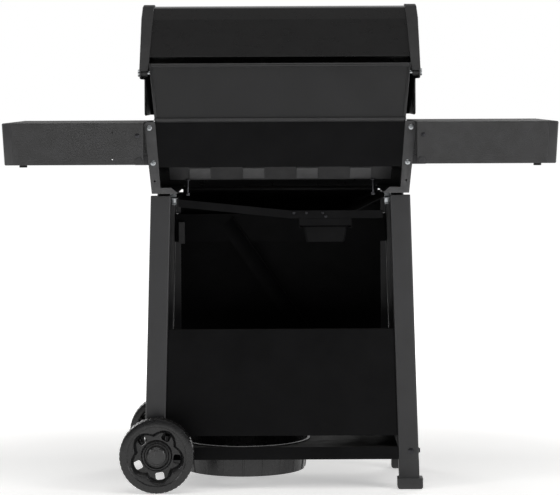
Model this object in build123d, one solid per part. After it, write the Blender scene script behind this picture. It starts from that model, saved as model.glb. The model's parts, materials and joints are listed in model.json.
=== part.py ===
"""Four-burner gas barbecue grill on a wheeled cart: roll-back lid, firebox, control panel,
fold-down side shelves, cabinet with one door, grease tray and a recess for the gas bottle.

Millimetres. +X is the cook's right, -Y the front, +Z up. While modelling, X and Y are measured
from the middle of the cart; every node is moved at the end so that the origin lies on the floor,
in the middle of the whole footprint.
"""

import math
import os

from build123d import *

# ---- Driving dimensions ----
SHEET = 1.5  # pressed steel sheet
CAST_WALL = 4.0  # cast aluminium wall
SEAT_GAP = 0.3  # clearance between pieces that rest in or on each other
RUNNING = 0.05  # radial clearance of a shaft in its bearing

# Cart
LEG_WIDTH = 52.0  # across X
LEG_DEPTH = 30.0  # across Y
LEG_WALL = 2.0
LEG_TOP_Z = 753.0
LEG_TOP_X = 306.7  # leg centre line at the top
LEG_LEAN = 1.6  # degrees that each leg leans out towards the floor
LEG_ROW_Y = 162.0  # leg centres, front and rear
FOOT_HEIGHT = 75.0
FOOT_PAD = (65.0, 46.0, 28.0)
BOTTOM_SHELF_TOP_Z = 108.0
BOTTOM_SHELF_LIP = 32.0
REAR_PANEL_Z = (137.0, 410.0)
PAN_DEPTH = 16.0  # folded depth of the rear panel and the front rail
FRONT_RAIL_Z = (615.0, 690.0)
SIDE_RAIL = (30.0, 30.0)  # width and height of the tube between the leg tops
CRADLE_Z = 761.0  # underside of the cradles, on top of the side rails
CATCH_PLUNGER_R = 5.0
CATCH_INSET = 16.0  # catch axis from the end of the front rail
CATCH_RISE = 25.0  # above the rail's foot
CATCH_HALF = (8.0, 29.0)
CATCH_DEPTH = 16.0
JAMB_X = 270.0  # inner edge of the strips beside the door
JAMB_DROP = 4.0  # upper strips' tops below the door's top
BRACE_WIDTH = 42.0
BRACE_TOP = (146.0, 668.0)
BRACE_FOOT_X = -240.0
TIE_TUBE_R = 8.0
TIE_TUBE_Y = -120.0
TIE_TUBE_DROP = 4.0  # axis below the cradles' underside

# Gas bottle recess
BOTTLE_X = 98.0
RECESS_R = 168.0
RECESS_DEPTH = 78.0
RECESS_TAPER = 10.0
RECESS_RIBS = 20
RECESS_RIB_R = 2.5
RECESS_DRAIN_R = 40.0

# Wheels
WHEEL_R = 95.0
WHEEL_WIDTH = 45.0
WHEEL_TRACK = 426.0  # between the middle planes of the two wheels
AXLE_X = 318.0
AXLE_R = 6.0
WHEEL_WINDOWS = 5
WHEEL_WINDOW_R = 9.5
WHEEL_WINDOW_PITCH_R = 52.0
WHEEL_WEB = 12.0
WHEEL_DISH_R = 75.0
WHEEL_DISH_DEPTH = 7.0
FIRST_WINDOW = 45.3  # degrees
HUB_R = 20.0
HUB_CAP_R = 24.0

# Firebox
BOX_HALF_X = 314.0
BOX_HALF_Y = 225.0
BOX_RIM_Z = 952.0
BOX_FLOOR_Z = 828.0
HOPPER_HALF_X = 284.0
HOPPER_TOP_Y = 200.0
HOPPER_FOOT_Y = 160.0
HOPPER_FOOT_Z = 794.0
RIM_LIP = 6.0
BURNERS = 4
BURNER_PITCH = 137.0
BURNER_Z = 872.0
BURNER_R = 18.0
BURNER_NECK_R = 12.0
BURNER_PORTS = 12
BURNER_PORT_R = 1.5
TAMER_Z = 895.0
GRATE_Z = 922.0
GRATE_THICKNESS = 12.0
GRATE_BAR = 7.0
GRATE_BARS = 15
SCREW_HEAD_R = 7.0
SCREW_HEAD = 3.0
CRADLE_SCREW_ZS = (839.0, 928.0)
CRADLE_SCREW_INSET = 12.0
FOOT_BOLT_RISE = 22.0  # above the foot

# Cradle that carries the firebox, on its outer side
CRADLE_TOP = (345.5, 944.0)
CRADLE_CORNER = 7.0
CRADLE_FOOT_X = 327.0
CRADLE_TOP_WIDTH = 27.5
CRADLE_ARM_WIDTH = 22.0
CRADLE_SHEET = 2.0
CRADLE_FOOT_HEIGHT = 15.0
CRADLE_TIP_X = 262.0
CRADLE_HOLE_Z = 793.0
CRADLE_HOLE_R = 2.5

# Fixed rear hood
HOOD_TOP_Z = 1092.0
HOOD_TOP_X = 333.0
HOOD_FOOT_X = 320.0
HOOD_REAR_Y = 224.0
HOOD_FRONT_Y = 12.0
HOOD_ROLL_R = 5.0
RACK_Z = 1030.0
RACK_WIRE_R = 2.5
RACK_Y = (45.0, 175.0)
RACK_WIRES = 19
WING_TOP_Z = 1042.0  # top of the wings in front of their raised ears
WING_EAR_Y = 170.0  # where the ears start

# Lid
LID_TOP_Z = 1251.0
LID_FRONT_Y = 238.0
LID_FOOT_Z = 957.0
LID_SKIN_HALF = 346.0
LID_SEAM_X = 335.0
LID_HALF = 358.0
LID_CAP_STEP = 4.5  # how far the end castings stand proud of the skin
LID_REAR_Y = 150.0
LID_CUT_Y = 0.0  # behind this the end castings are shallow
LID_CUT_Z = 1052.0
LID_BACK_TOP = (-10.0, 1210.0)  # where the lid's top turns down into its back slope
LID_BACK_Z = 1110.5  # back slope's height at the rear edge
LID_BEND_R = [70, 36, 60, 50, 60]
LID_DRAFT = 6.0  # how far the front leans back towards its foot
LID_RUN_OUT_Z = 700.0  # the front face is drawn down to here and then cut
PIVOT_Y = 195.0
PIVOT_Z = 1068.0
PIVOT_R = 5.0
HANDLE_Z = 1012.0
HANDLE_HALF = 262.0
HANDLE_R = 11.0
HANDLE_REACH = 46.0
HANDLE_POST_X = 236.0
GAUGE_Z = 1078.0
GAUGE_R = 36.0
GAUGE_DEPTH = 12.0

# Control panel
PANEL_HALF = 342.5
PANEL_TOP = (-258.0, 944.0)
PANEL_BREAK = (-296.0, 852.0)
PANEL_FOOT = (-290.0, 750.0)
KNOB_R = 24.0
KNOB_HEIGHT = 24.0
KNOB_BEZEL_R = 31.0
KNOB_BEZEL = 3.0
STEM_R = 4.0
BUTTON_R = 10.8
BUTTON_STROKE = 5.0
BUTTON_RISE = 22.0  # above the row of knobs, along the sloped face
MANIFOLD_R = 10.0
MANIFOLD_Y = -248.0
INLET_R = 7.94
INLET_LENGTH = 14.0
INLET_X = -240.0
INLET_NUT = 9.0
INLET_BLOCK_FOOT = 14.0  # below the manifold's axis

# Side shelves
SHELF_REACH = 705.0  # outer end, from the middle of the cart
SHELF_INNER_X = 347.0
SHELF_END_CAP = 23.0
SHELF_SLANT = 7.0
SHELF_TOP_Z = 942.0
SHELF_HEIGHT = 106.5
SHELF_HALF_Y = 250.0
SHELF_PIVOT_X = 358.0
SHELF_PIVOT_DROP = 97.0  # pivot below the shelf's top
SHELF_PIN_R = 4.0
SHELF_ARM_INSET = 1.0  # arm plates from the ends of the firebox
BUMPER_X = 660.0
BUMPER_R = 10.0
BUMPER_HEIGHT = 8.0
TOOL_SLOT_X = 425.0
TOOL_SLOT_DROPS = (24.0, 90.0)  # below the shelf's top
TOOL_SLOT = (3.0, 8.0)  # width and height

# Door
DOOR_HALF = 277.0
DOOR_Z = (196.0, 748.0)  # its foot clears the front wheel
DOOR_RECESS = 1.5  # behind the front faces of the legs
DOOR_DEPTH = 15.0
DOOR_SWEEP = 7.0  # room behind the door for its hinge edge to turn in
DOOR_PLATE = 3.0
DOOR_SHEET = 1.2
DOOR_PIN_R = 4.0
DOOR_PIN_INSET = 10.0
DOOR_HANDLE_X = 186.0
DOOR_HANDLE_Z = (418.0, 607.0)
DOOR_HANDLE_R = 6.0
DOOR_HANDLE_REACH = 32.0

# Grease tray and drip cup
TRAY_HALF_X = 262.0
TRAY_LIP = 16.0
TRAY_LIP_Z = 748.0
TRAY_Y = (-150.0, 168.0)
TRAY_LOW_Z = 694.0
TRAY_BAND = 20.0
TRAY_HIGH_Z = 744.0
TRAY_LOW_X = (-156.0, -26.0)
TRAY_DRAIN_X = -115.0
TRAY_DRAIN_R = 30.0
CUP_X = (-172.0, -58.0)
CUP_Y = (30.0, 150.0)
CUP_Z = (632.0, 672.0)
CUP_RIM = 7.0
CUP_TAPER = 8.0
CUP_WALL = 1.0

# ---- Values worked out from them ----
LEAN_SLOPE = math.tan(math.radians(LEG_LEAN))
AXLE_Z = WHEEL_R
LEG_FRONT_FACE_Y = LEG_ROW_Y + LEG_DEPTH / 2
LEG_INNER_FACE_Y = LEG_ROW_Y - LEG_DEPTH / 2
SHELF_FOOT_Z = SHELF_TOP_Z - SHELF_HEIGHT
SHELF_PIVOT_Z = SHELF_TOP_Z - SHELF_PIVOT_DROP
SHELF_ARM_Y = BOX_HALF_Y - SHELF_ARM_INSET
BURNER_XS = [BURNER_PITCH * (i - (BURNERS - 1) / 2) for i in range(BURNERS)]
DOOR_FRONT_Y = -LEG_FRONT_FACE_Y + DOOR_RECESS
DOOR_REAR_Y = DOOR_FRONT_Y + DOOR_DEPTH
FRONT_RAIL_Y = (DOOR_REAR_Y + DOOR_SWEEP, DOOR_REAR_Y + DOOR_SWEEP + PAN_DEPTH)
PANEL_REAR_Y = -BOX_HALF_Y - CRADLE_SHEET - SEAT_GAP
PANEL_RUN = math.dist(PANEL_TOP, PANEL_BREAK)
PANEL_NORMAL = (
    0.0,
    (PANEL_BREAK[1] - PANEL_TOP[1]) / PANEL_RUN,
    (PANEL_TOP[0] - PANEL_BREAK[0]) / PANEL_RUN,
)
PANEL_MIDDLE = ((PANEL_TOP[0] + PANEL_BREAK[0]) / 2, (PANEL_TOP[1] + PANEL_BREAK[1]) / 2)
PANEL_WALL = 2.0
FAR = 1500.0  # beyond everything

nodes = {}


# ---- Helpers ----
def block(x, y, z):
    """A box from three (low, high) pairs."""
    size = [high - low for low, high in (x, y, z)]
    middle = [(low + high) / 2 for low, high in (x, y, z)]
    return Pos(*middle) * Box(*size)


def prism_xz(points, y):
    """An outline of (x, z) points, carried from y[0] to y[1]."""
    face = make_face(Polyline(*[(px, y[0], pz) for px, pz in points], close=True))
    return extrude(face, amount=y[1] - y[0], dir=(0, 1, 0))


def prism_yz(points, x):
    """An outline of (y, z) points, carried from x[0] to x[1]."""
    face = make_face(Polyline(*[(x[0], py, pz) for py, pz in points], close=True))
    return extrude(face, amount=x[1] - x[0], dir=(1, 0, 0))


def rod(start, end, radius):
    """A cylinder between two points."""
    run = Vector(*end) - Vector(*start)
    return Part() + Solid.make_cylinder(radius, run.length, Plane(origin=start, z_dir=run))


def along_y(x, z, y, radius):
    return rod((x, y[0], z), (x, y[1], z), radius)


def along_x(y, z, x, radius):
    return rod((x[0], y, z), (x[1], y, z), radius)


def flip(shape):
    """The mirror image on the cook's left."""
    return mirror(shape, about=Plane.YZ)


def add(node, *shapes):
    nodes[node] = [solid for shape in shapes for solid in shape.solids()]


def leg_x(z):
    """Centre line of a leg at a height."""
    return LEG_TOP_X + (LEG_TOP_Z - z) * LEAN_SLOPE


def leg_inner_x(z):
    return leg_x(z) - LEG_WIDTH / 2


def cradle_x(z):
    """Outer surface of a cradle at a height."""
    top_x, top_z = CRADLE_TOP
    rise = top_z - CRADLE_CORNER - CRADLE_Z
    return CRADLE_FOOT_X + (top_x - CRADLE_FOOT_X) * (z - CRADLE_Z) / rise


def hood_x(z):
    """Outer surface of the hood's side at a height."""
    share = (z - LID_FOOT_Z) / (HOOD_TOP_Z - LID_FOOT_Z)
    return HOOD_FOOT_X + (HOOD_TOP_X - HOOD_FOOT_X) * share


def off_panel(x, distance, rise=0.0):
    """A point at a distance out from the sloped control face, and a rise up along it."""
    return (
        x,
        PANEL_MIDDLE[0] + PANEL_NORMAL[1] * distance + PANEL_NORMAL[2] * rise,
        PANEL_MIDDLE[1] + PANEL_NORMAL[2] * distance - PANEL_NORMAL[1] * rise,
    )


def panel_rod(x, low, high, radius, rise=0.0):
    """A cylinder square to the sloped control face."""
    return rod(off_panel(x, low, rise), off_panel(x, high, rise), radius)


# ---- Cart ----
def leg_prism(half_width, z_low, z_high, y):
    outline = [
        (leg_x(z_low) - half_width, z_low),
        (leg_x(z_low) + half_width, z_low),
        (leg_x(z_high) + half_width, z_high),
        (leg_x(z_high) - half_width, z_high),
    ]
    return prism_xz(outline, y)


def leg(front):
    """A leaning rectangular tube on the cook's right, open at both ends."""
    y = -LEG_ROW_Y if front else LEG_ROW_Y
    outer = leg_prism(LEG_WIDTH / 2, FOOT_HEIGHT, LEG_TOP_Z, (y - LEG_DEPTH / 2, y + LEG_DEPTH / 2))
    bore_y = (y - LEG_DEPTH / 2 + LEG_WALL, y + LEG_DEPTH / 2 - LEG_WALL)
    return outer - leg_prism(LEG_WIDTH / 2 - LEG_WALL, FOOT_HEIGHT - 1, LEG_TOP_Z + 1, bore_y)


def legs():
    for front in (True, False):
        end = "front" if front else "rear"
        y = -LEG_ROW_Y if front else LEG_ROW_Y
        hole = along_y(AXLE_X, AXLE_Z, (y - LEG_DEPTH, y + LEG_DEPTH), AXLE_R + RUNNING)
        add(f"leg_{end}_right", leg(front) - hole)
        add(f"leg_{end}_left", flip(leg(front)))


def foot(front):
    y = -LEG_ROW_Y if front else LEG_ROW_Y
    width, depth, height = FOOT_PAD
    outer_x = leg_x(0) + LEG_WIDTH / 2 + 8
    pad = block((outer_x - width, outer_x), (y - depth / 2, y + depth / 2), (0, height))
    pad = fillet(pad.edges().filter_by(Axis.Z), 5)
    pad = chamfer(pad.edges().group_by(Axis.Z)[0], 4)
    y_stem = (y - LEG_DEPTH / 2, y + LEG_DEPTH / 2)
    stem = leg_prism(LEG_WIDTH / 2, height - 1, FOOT_HEIGHT, y_stem)
    inset = LEG_WALL + SEAT_GAP
    y_plug = (y_stem[0] + inset, y_stem[1] - inset)
    plug = leg_prism(LEG_WIDTH / 2 - inset, FOOT_HEIGHT - 1, FOOT_HEIGHT + 25, y_plug)
    return flip(pad + stem + plug)


def bottom_shelf():
    """Pressed floor of the cabinet, with folded lips and the hole for the bottle's recess."""
    low = BOTTOM_SHELF_TOP_Z - BOTTOM_SHELF_LIP
    half_y = LEG_FRONT_FACE_Y - 2
    outline = [
        (-leg_inner_x(low) + SEAT_GAP, low),
        (leg_inner_x(low) - SEAT_GAP, low),
        (leg_inner_x(BOTTOM_SHELF_TOP_Z) - SEAT_GAP, BOTTOM_SHELF_TOP_Z),
        (-leg_inner_x(BOTTOM_SHELF_TOP_Z) + SEAT_GAP, BOTTOM_SHELF_TOP_Z),
    ]
    outer = prism_xz(outline, (-half_y, half_y))
    inner_x = leg_inner_x(BOTTOM_SHELF_TOP_Z) - SEAT_GAP - SHEET
    y_in = (-half_y + SHEET, half_y - SHEET)
    hollow = block((-inner_x, inner_x), y_in, (low - 1, BOTTOM_SHELF_TOP_Z - SHEET))
    hole = Pos(BOTTLE_X, 0, BOTTOM_SHELF_TOP_Z) * Cylinder(RECESS_R + SEAT_GAP, 4 * SHEET)
    return outer - hollow - hole


def recess():
    """Ribbed dish that the gas bottle stands in."""
    foot_z = BOTTOM_SHELF_TOP_Z - RECESS_DEPTH
    foot_r = RECESS_R - RECESS_TAPER
    place = Plane(origin=(BOTTLE_X, 0, foot_z))
    dish = Part() + Solid.make_cone(foot_r, RECESS_R, RECESS_DEPTH, place)
    for i in range(RECESS_RIBS):
        turn = 2 * math.pi * i / RECESS_RIBS
        start = (BOTTLE_X + foot_r * math.cos(turn), foot_r * math.sin(turn), foot_z + 2)
        top_r = RECESS_R - RECESS_RIB_R * 0.4
        end_z = BOTTOM_SHELF_TOP_Z - 4 * SHEET
        end = (BOTTLE_X + top_r * math.cos(turn), top_r * math.sin(turn), end_z)
        dish += rod(start, end, RECESS_RIB_R)
    inner_place = Plane(origin=(BOTTLE_X, 0, foot_z + SHEET))
    dish -= Solid.make_cone(foot_r - SHEET, RECESS_R - SHEET, RECESS_DEPTH, inner_place)
    rim_z = BOTTOM_SHELF_TOP_Z + SEAT_GAP
    rim = Pos(BOTTLE_X, 0, rim_z + SHEET / 2) * Cylinder(RECESS_R + 5, SHEET)
    rim -= Pos(BOTTLE_X, 0, rim_z) * Cylinder(RECESS_R - SHEET, 4 * SHEET)
    neck = Pos(BOTTLE_X, 0, rim_z) * Cylinder(RECESS_R, 2 * SHEET)
    neck -= Pos(BOTTLE_X, 0, rim_z) * Cylinder(RECESS_R - SHEET, 8 * SHEET)
    dish += rim + neck
    return dish - Pos(BOTTLE_X, 0, foot_z) * Cylinder(RECESS_DRAIN_R, 8 * SHEET)


def side_panel():
    """Sheet between the front and rear legs on the cook's right, flush near their outer faces."""
    shift = LEG_WIDTH / 2 - 8
    low, high = BOTTOM_SHELF_TOP_Z - BOTTOM_SHELF_LIP, CRADLE_Z - SIDE_RAIL[1] - SEAT_GAP
    outline = [
        (leg_x(low) + shift - SHEET, low),
        (leg_x(low) + shift, low),
        (leg_x(high) + shift, high),
        (leg_x(high) + shift - SHEET, high),
    ]
    return prism_xz(outline, (-LEG_INNER_FACE_Y, LEG_INNER_FACE_Y))


def cross_pan(z, y):
    """Folded panel between two legs: a web with four short flanges."""
    low, high = z
    half_low, half_high = leg_inner_x(low) - SEAT_GAP, leg_inner_x(high) - SEAT_GAP
    outline = [(-half_low, low), (half_low, low), (half_high, high), (-half_high, high)]
    pan = prism_xz(outline, y)
    inset = [
        (-half_high + SHEET, low + SHEET),
        (half_high - SHEET, low + SHEET),
        (half_high - SHEET, high - SHEET),
        (-half_high + SHEET, high - SHEET),
    ]
    return pan - prism_xz(inset, (y[0] - 1, y[1] - SHEET))


def jamb(low, high):
    """Strip up the inner side of a front leg, which closes the gap beside the door."""
    outline = [
        (JAMB_X, low),
        (leg_inner_x(low) - SEAT_GAP, low),
        (leg_inner_x(high) - SEAT_GAP, high),
        (JAMB_X, high),
    ]
    return prism_xz(outline, (FRONT_RAIL_Y[0], FRONT_RAIL_Y[0] + SHEET))


def brace():
    """Diagonal angle from the front rail down to the bottom shelf."""
    rail_rear_y = FRONT_RAIL_Y[1]
    top_x, top_z = BRACE_TOP
    foot_z = BOTTOM_SHELF_TOP_Z + SEAT_GAP
    run = Vector(BRACE_FOOT_X - top_x, 0, foot_z - top_z).normalized()
    side = Vector(-run.Z, 0, run.X) * (BRACE_WIDTH / 2)
    reach = (top_z - foot_z) / -run.Z
    corners = [
        (top_x + side.X, top_z + side.Z),
        (top_x - side.X, top_z - side.Z),
        (top_x + run.X * (reach + 60) - side.X, top_z + run.Z * (reach + 60) - side.Z),
        (top_x + run.X * (reach + 60) + side.X, top_z + run.Z * (reach + 60) + side.Z),
    ]
    y = (rail_rear_y + SEAT_GAP, rail_rear_y + SEAT_GAP + SHEET)
    web = prism_xz(corners, y)
    lip_side = Vector(-run.Z, 0, run.X) * (BRACE_WIDTH / 2 - SHEET)
    lip = [
        (top_x - side.X, top_z - side.Z),
        (top_x - lip_side.X, top_z - lip_side.Z),
        (top_x + run.X * (reach + 60) - lip_side.X, top_z + run.Z * (reach + 60) - lip_side.Z),
        (top_x + run.X * (reach + 60) - side.X, top_z + run.Z * (reach + 60) - side.Z),
    ]
    angle = web + prism_xz(lip, (y[0], y[1] + 10))
    return angle - block((-FAR, FAR), (-FAR, FAR), (-FAR, foot_z))


def cart_frame():
    legs()
    add("feet", foot(True), foot(False))
    add("bottom_shelf", bottom_shelf())
    add("bottle_recess", recess())
    add("side_panel_right", side_panel())
    add("side_panel_left", flip(side_panel()))
    rear_face_y = LEG_FRONT_FACE_Y - 4
    add("rear_panel", cross_pan(REAR_PANEL_Z, (rear_face_y - PAN_DEPTH, rear_face_y)))
    catch_x = leg_inner_x(FRONT_RAIL_Z[1]) - CATCH_INSET
    catch_z = FRONT_RAIL_Z[0] + CATCH_RISE
    front_rail = cross_pan(FRONT_RAIL_Z, FRONT_RAIL_Y)
    plunger_hole = along_y(catch_x, catch_z, (-FAR, 0), CATCH_PLUNGER_R + SEAT_GAP)
    strips = [
        jamb(BOTTOM_SHELF_TOP_Z + SEAT_GAP, FRONT_RAIL_Z[0] - SEAT_GAP),
        jamb(FRONT_RAIL_Z[1] + SEAT_GAP, DOOR_Z[1] - JAMB_DROP),
    ]
    add("front_rail", front_rail - plunger_hole, *strips, *[flip(strip) for strip in strips])
    add("cross_brace", brace())
    width, height = SIDE_RAIL
    rail_x = (LEG_TOP_X - width / 2 - 8, LEG_TOP_X + width / 2 - 8)
    rail_y = (-LEG_INNER_FACE_Y, LEG_INNER_FACE_Y)
    rail = block(rail_x, rail_y, (CRADLE_Z - height, CRADLE_Z))
    bore_x = (rail_x[0] + LEG_WALL, rail_x[1] - LEG_WALL)
    rail -= block(bore_x, (-FAR, FAR), (CRADLE_Z - height + LEG_WALL, CRADLE_Z - LEG_WALL))
    tie_z = CRADLE_Z - TIE_TUBE_DROP
    tie_end = CRADLE_TIP_X - SEAT_GAP
    tie = along_x(TIE_TUBE_Y, tie_z, (-tie_end, tie_end), TIE_TUBE_R)
    tie -= along_x(TIE_TUBE_Y, tie_z, (-FAR, FAR), TIE_TUBE_R - SHEET)
    add("top_rails", rail, flip(rail), tie)
    back_y = FRONT_RAIL_Y[1] + SEAT_GAP
    half_x, half_z = CATCH_HALF
    catch_y = (back_y, back_y + CATCH_DEPTH)
    catch = block((catch_x - half_x, catch_x + half_x), catch_y, (catch_z - half_z, catch_z + half_z))
    catch += along_y(catch_x, catch_z, (DOOR_REAR_Y + 1, back_y + 1), CATCH_PLUNGER_R)
    add("door_catch", catch)


def wheel(y):
    """Moulded wheel: tread ring, web with five windows, hub and a blind ring of the outer face."""
    out = math.copysign(1, y)
    face_y = y + out * WHEEL_WIDTH / 2
    back_y = y - out * WHEEL_WIDTH / 2
    disc = along_y(AXLE_X, AXLE_Z, sorted((back_y, face_y)), WHEEL_R)
    disc = fillet(disc.edges().filter_by(GeomType.CIRCLE), 5)
    dish_r = WHEEL_DISH_R
    web_out = face_y - out * WHEEL_DISH_DEPTH
    web_in = web_out - out * WHEEL_WEB
    disc -= along_y(AXLE_X, AXLE_Z, sorted((web_out, face_y + out)), dish_r)
    disc -= along_y(AXLE_X, AXLE_Z, sorted((back_y - out, web_in)), dish_r)
    disc += along_y(AXLE_X, AXLE_Z, sorted((back_y, face_y)), HUB_R)
    for i in range(WHEEL_WINDOWS):
        turn = math.radians(FIRST_WINDOW + 360 * i / WHEEL_WINDOWS)
        x = AXLE_X + WHEEL_WINDOW_PITCH_R * math.cos(turn)
        z = AXLE_Z + WHEEL_WINDOW_PITCH_R * math.sin(turn)
        disc -= along_y(x, z, (y - WHEEL_WIDTH, y + WHEEL_WIDTH), WHEEL_WINDOW_R)
    return disc - along_y(AXLE_X, AXLE_Z, (y - WHEEL_WIDTH, y + WHEEL_WIDTH), AXLE_R + RUNNING)


def hub_cap(y):
    out = math.copysign(1, y)
    face_y = y + out * (WHEEL_WIDTH / 2 + RUNNING)
    cap = along_y(AXLE_X, AXLE_Z, sorted((face_y, face_y + out * 6)), HUB_CAP_R)
    rim = cap.edges().filter_by(GeomType.CIRCLE).sort_by(Axis.Y)[-1 if out > 0 else 0]
    return fillet(rim, 3)


def wheels():
    half = WHEEL_TRACK / 2
    for end, y in (("front", -half), ("rear", half)):
        add(f"wheel_{end}", wheel(y))
        add(f"hub_cap_{end}", hub_cap(y))
    tip = half + WHEEL_WIDTH / 2 - 1
    add("axle", along_y(AXLE_X, AXLE_Z, (-tip, tip), AXLE_R))


# ---- Firebox and what it carries ----
def firebox():
    """Cast box with a narrower hopper below, open at the top and the bottom."""
    outer = block((-BOX_HALF_X, BOX_HALF_X), (-BOX_HALF_Y, BOX_HALF_Y), (BOX_FLOOR_Z, BOX_RIM_Z))
    rim = block(
        (-BOX_HALF_X - RIM_LIP, BOX_HALF_X + RIM_LIP),
        (-BOX_HALF_Y - RIM_LIP, BOX_HALF_Y + RIM_LIP),
        (BOX_RIM_Z - RIM_LIP, BOX_RIM_Z),
    )
    hopper = [
        (-HOPPER_TOP_Y, BOX_FLOOR_Z + 1),
        (HOPPER_TOP_Y, BOX_FLOOR_Z + 1),
        (HOPPER_FOOT_Y, HOPPER_FOOT_Z),
        (-HOPPER_FOOT_Y, HOPPER_FOOT_Z),
    ]
    body = outer + rim + prism_yz(hopper, (-HOPPER_HALF_X, HOPPER_HALF_X))
    in_x, in_y = BOX_HALF_X - CAST_WALL, BOX_HALF_Y - CAST_WALL
    body -= block((-in_x, in_x), (-in_y, in_y), (BOX_FLOOR_Z + CAST_WALL, BOX_RIM_Z + 1))
    slope = (HOPPER_TOP_Y - HOPPER_FOOT_Y) / (BOX_FLOOR_Z - HOPPER_FOOT_Z)
    top_z, foot_z = BOX_FLOOR_Z + 2 * CAST_WALL, HOPPER_FOOT_Z - 1
    top_y = HOPPER_TOP_Y - CAST_WALL + slope * 2 * CAST_WALL
    foot_y = HOPPER_FOOT_Y - CAST_WALL - slope
    throat = [(-top_y, top_z), (top_y, top_z), (foot_y, foot_z), (-foot_y, foot_z)]
    hopper_in_x = HOPPER_HALF_X - CAST_WALL
    body -= prism_yz(throat, (-hopper_in_x, hopper_in_x))
    for side in (-1, 1):
        for ledge_z in (GRATE_Z, TAMER_Z - SEAT_GAP):
            y = sorted((side * (in_y - 12), side * (in_y + 1)))
            body += block((-in_x - 1, in_x + 1), y, (ledge_z - 4, ledge_z))
        for lug_z in CRADLE_SCREW_ZS:
            x = sorted((side * (BOX_HALF_X - 1), side * (cradle_x(lug_z) - CRADLE_SHEET - 1)))
            body += block(x, (BOX_HALF_Y - 10, BOX_HALF_Y), (lug_z - 8, lug_z + 8))
            body += block(x, (-BOX_HALF_Y, -BOX_HALF_Y + 10), (lug_z - 8, lug_z + 8))
    pad_low, pad_high = HOPPER_FOOT_Z + 3, BOX_FLOOR_Z - 3
    pad_foot = HOPPER_FOOT_Y + slope * (pad_low - HOPPER_FOOT_Z)
    pad_top = HOPPER_FOOT_Y + slope * (pad_high - HOPPER_FOOT_Z)
    pad = [
        (pad_foot + 1.5, pad_low),
        (pad_top + 1.5, pad_high),
        (pad_top - 1, pad_high),
        (pad_foot - 1, pad_low),
    ]
    for x in BURNER_XS:
        body += prism_yz(pad, (x - 29, x + 29))
        neck_hole = (-BOX_HALF_Y - 1, -BOX_HALF_Y + 2 * CAST_WALL)
        body -= along_y(x, BURNER_Z, neck_hole, BURNER_NECK_R + SEAT_GAP)
    return body


def cradle_outline():
    """Rear view of a cradle: an arm beside the firebox and a foot on the side rail."""
    top_x, top_z = CRADLE_TOP
    foot_top = CRADLE_Z + CRADLE_FOOT_HEIGHT
    return [
        (top_x, top_z - CRADLE_CORNER),
        (top_x - CRADLE_CORNER, top_z),
        (top_x - CRADLE_TOP_WIDTH, top_z),
        (CRADLE_FOOT_X - CRADLE_ARM_WIDTH, foot_top),
        (CRADLE_TIP_X + CRADLE_FOOT_HEIGHT, foot_top),
        (CRADLE_TIP_X, CRADLE_Z + CRADLE_SHEET),
        (CRADLE_TIP_X, CRADLE_Z),
        (CRADLE_FOOT_X, CRADLE_Z),
    ]


def cradle():
    """Front and rear plates joined by an outer wall and a floor, on the cook's right."""
    plate_y = BOX_HALF_Y + CRADLE_SHEET
    shell = prism_xz(cradle_outline(), (-plate_y, plate_y))
    floor_z = CRADLE_Z + CRADLE_SHEET
    hollow = [
        (cradle_x(FAR) - CRADLE_SHEET, FAR),
        (0, FAR),
        (0, floor_z),
        (cradle_x(floor_z) - CRADLE_SHEET, floor_z),
    ]
    shell -= prism_xz(hollow, (-BOX_HALF_Y, BOX_HALF_Y))
    hole_x = cradle_x(CRADLE_HOLE_Z) - CRADLE_ARM_WIDTH / 2
    hole_y = (plate_y - 2 * CRADLE_SHEET, plate_y + 1)
    return shell - along_y(hole_x, CRADLE_HOLE_Z, hole_y, CRADLE_HOLE_R)


def frame_screws():
    """Cradle screws at the back and the front, and the bolts of the two feet."""
    screws = []
    for side in (-1, 1):
        for z in CRADLE_SCREW_ZS:
            x = side * (cradle_x(z) - CRADLE_SCREW_INSET)
            for end in (-1, 1):
                face = end * (BOX_HALF_Y + CRADLE_SHEET)
                screws.append(along_y(x, z, sorted((face, face + end * SCREW_HEAD)), SCREW_HEAD_R))
    bolt_z = FOOT_HEIGHT + FOOT_BOLT_RISE
    for end in (-1, 1):
        face = end * LEG_FRONT_FACE_Y
        x = -leg_x(bolt_z) - 6
        screws.append(along_y(x, bolt_z, sorted((face, face + end * 4)), SCREW_HEAD_R + 1))
        side_x = -leg_x(bolt_z) - LEG_WIDTH / 2 - SEAT_GAP
        screws.append(along_x(end * LEG_ROW_Y, bolt_z, (side_x - 4, side_x), SCREW_HEAD_R + 1))
    return screws


def heat_shield():
    """Thin rear shield that hangs against the firebox, between the cradle arms."""
    gap = 1.0
    top_z, low_z = CRADLE_TOP[1] - 2, BOX_FLOOR_Z

    def edge(z):
        top_x, foot_x = CRADLE_TOP[0] - CRADLE_TOP_WIDTH, CRADLE_FOOT_X - CRADLE_ARM_WIDTH
        foot_top = CRADLE_Z + CRADLE_FOOT_HEIGHT
        return foot_x + (top_x - foot_x) * (z - foot_top) / (CRADLE_TOP[1] - foot_top) - gap

    outline = [(-edge(low_z), low_z), (edge(low_z), low_z), (edge(top_z), top_z), (-edge(top_z), top_z)]
    return prism_xz(outline, (BOX_HALF_Y, BOX_HALF_Y + SHEET))


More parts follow.
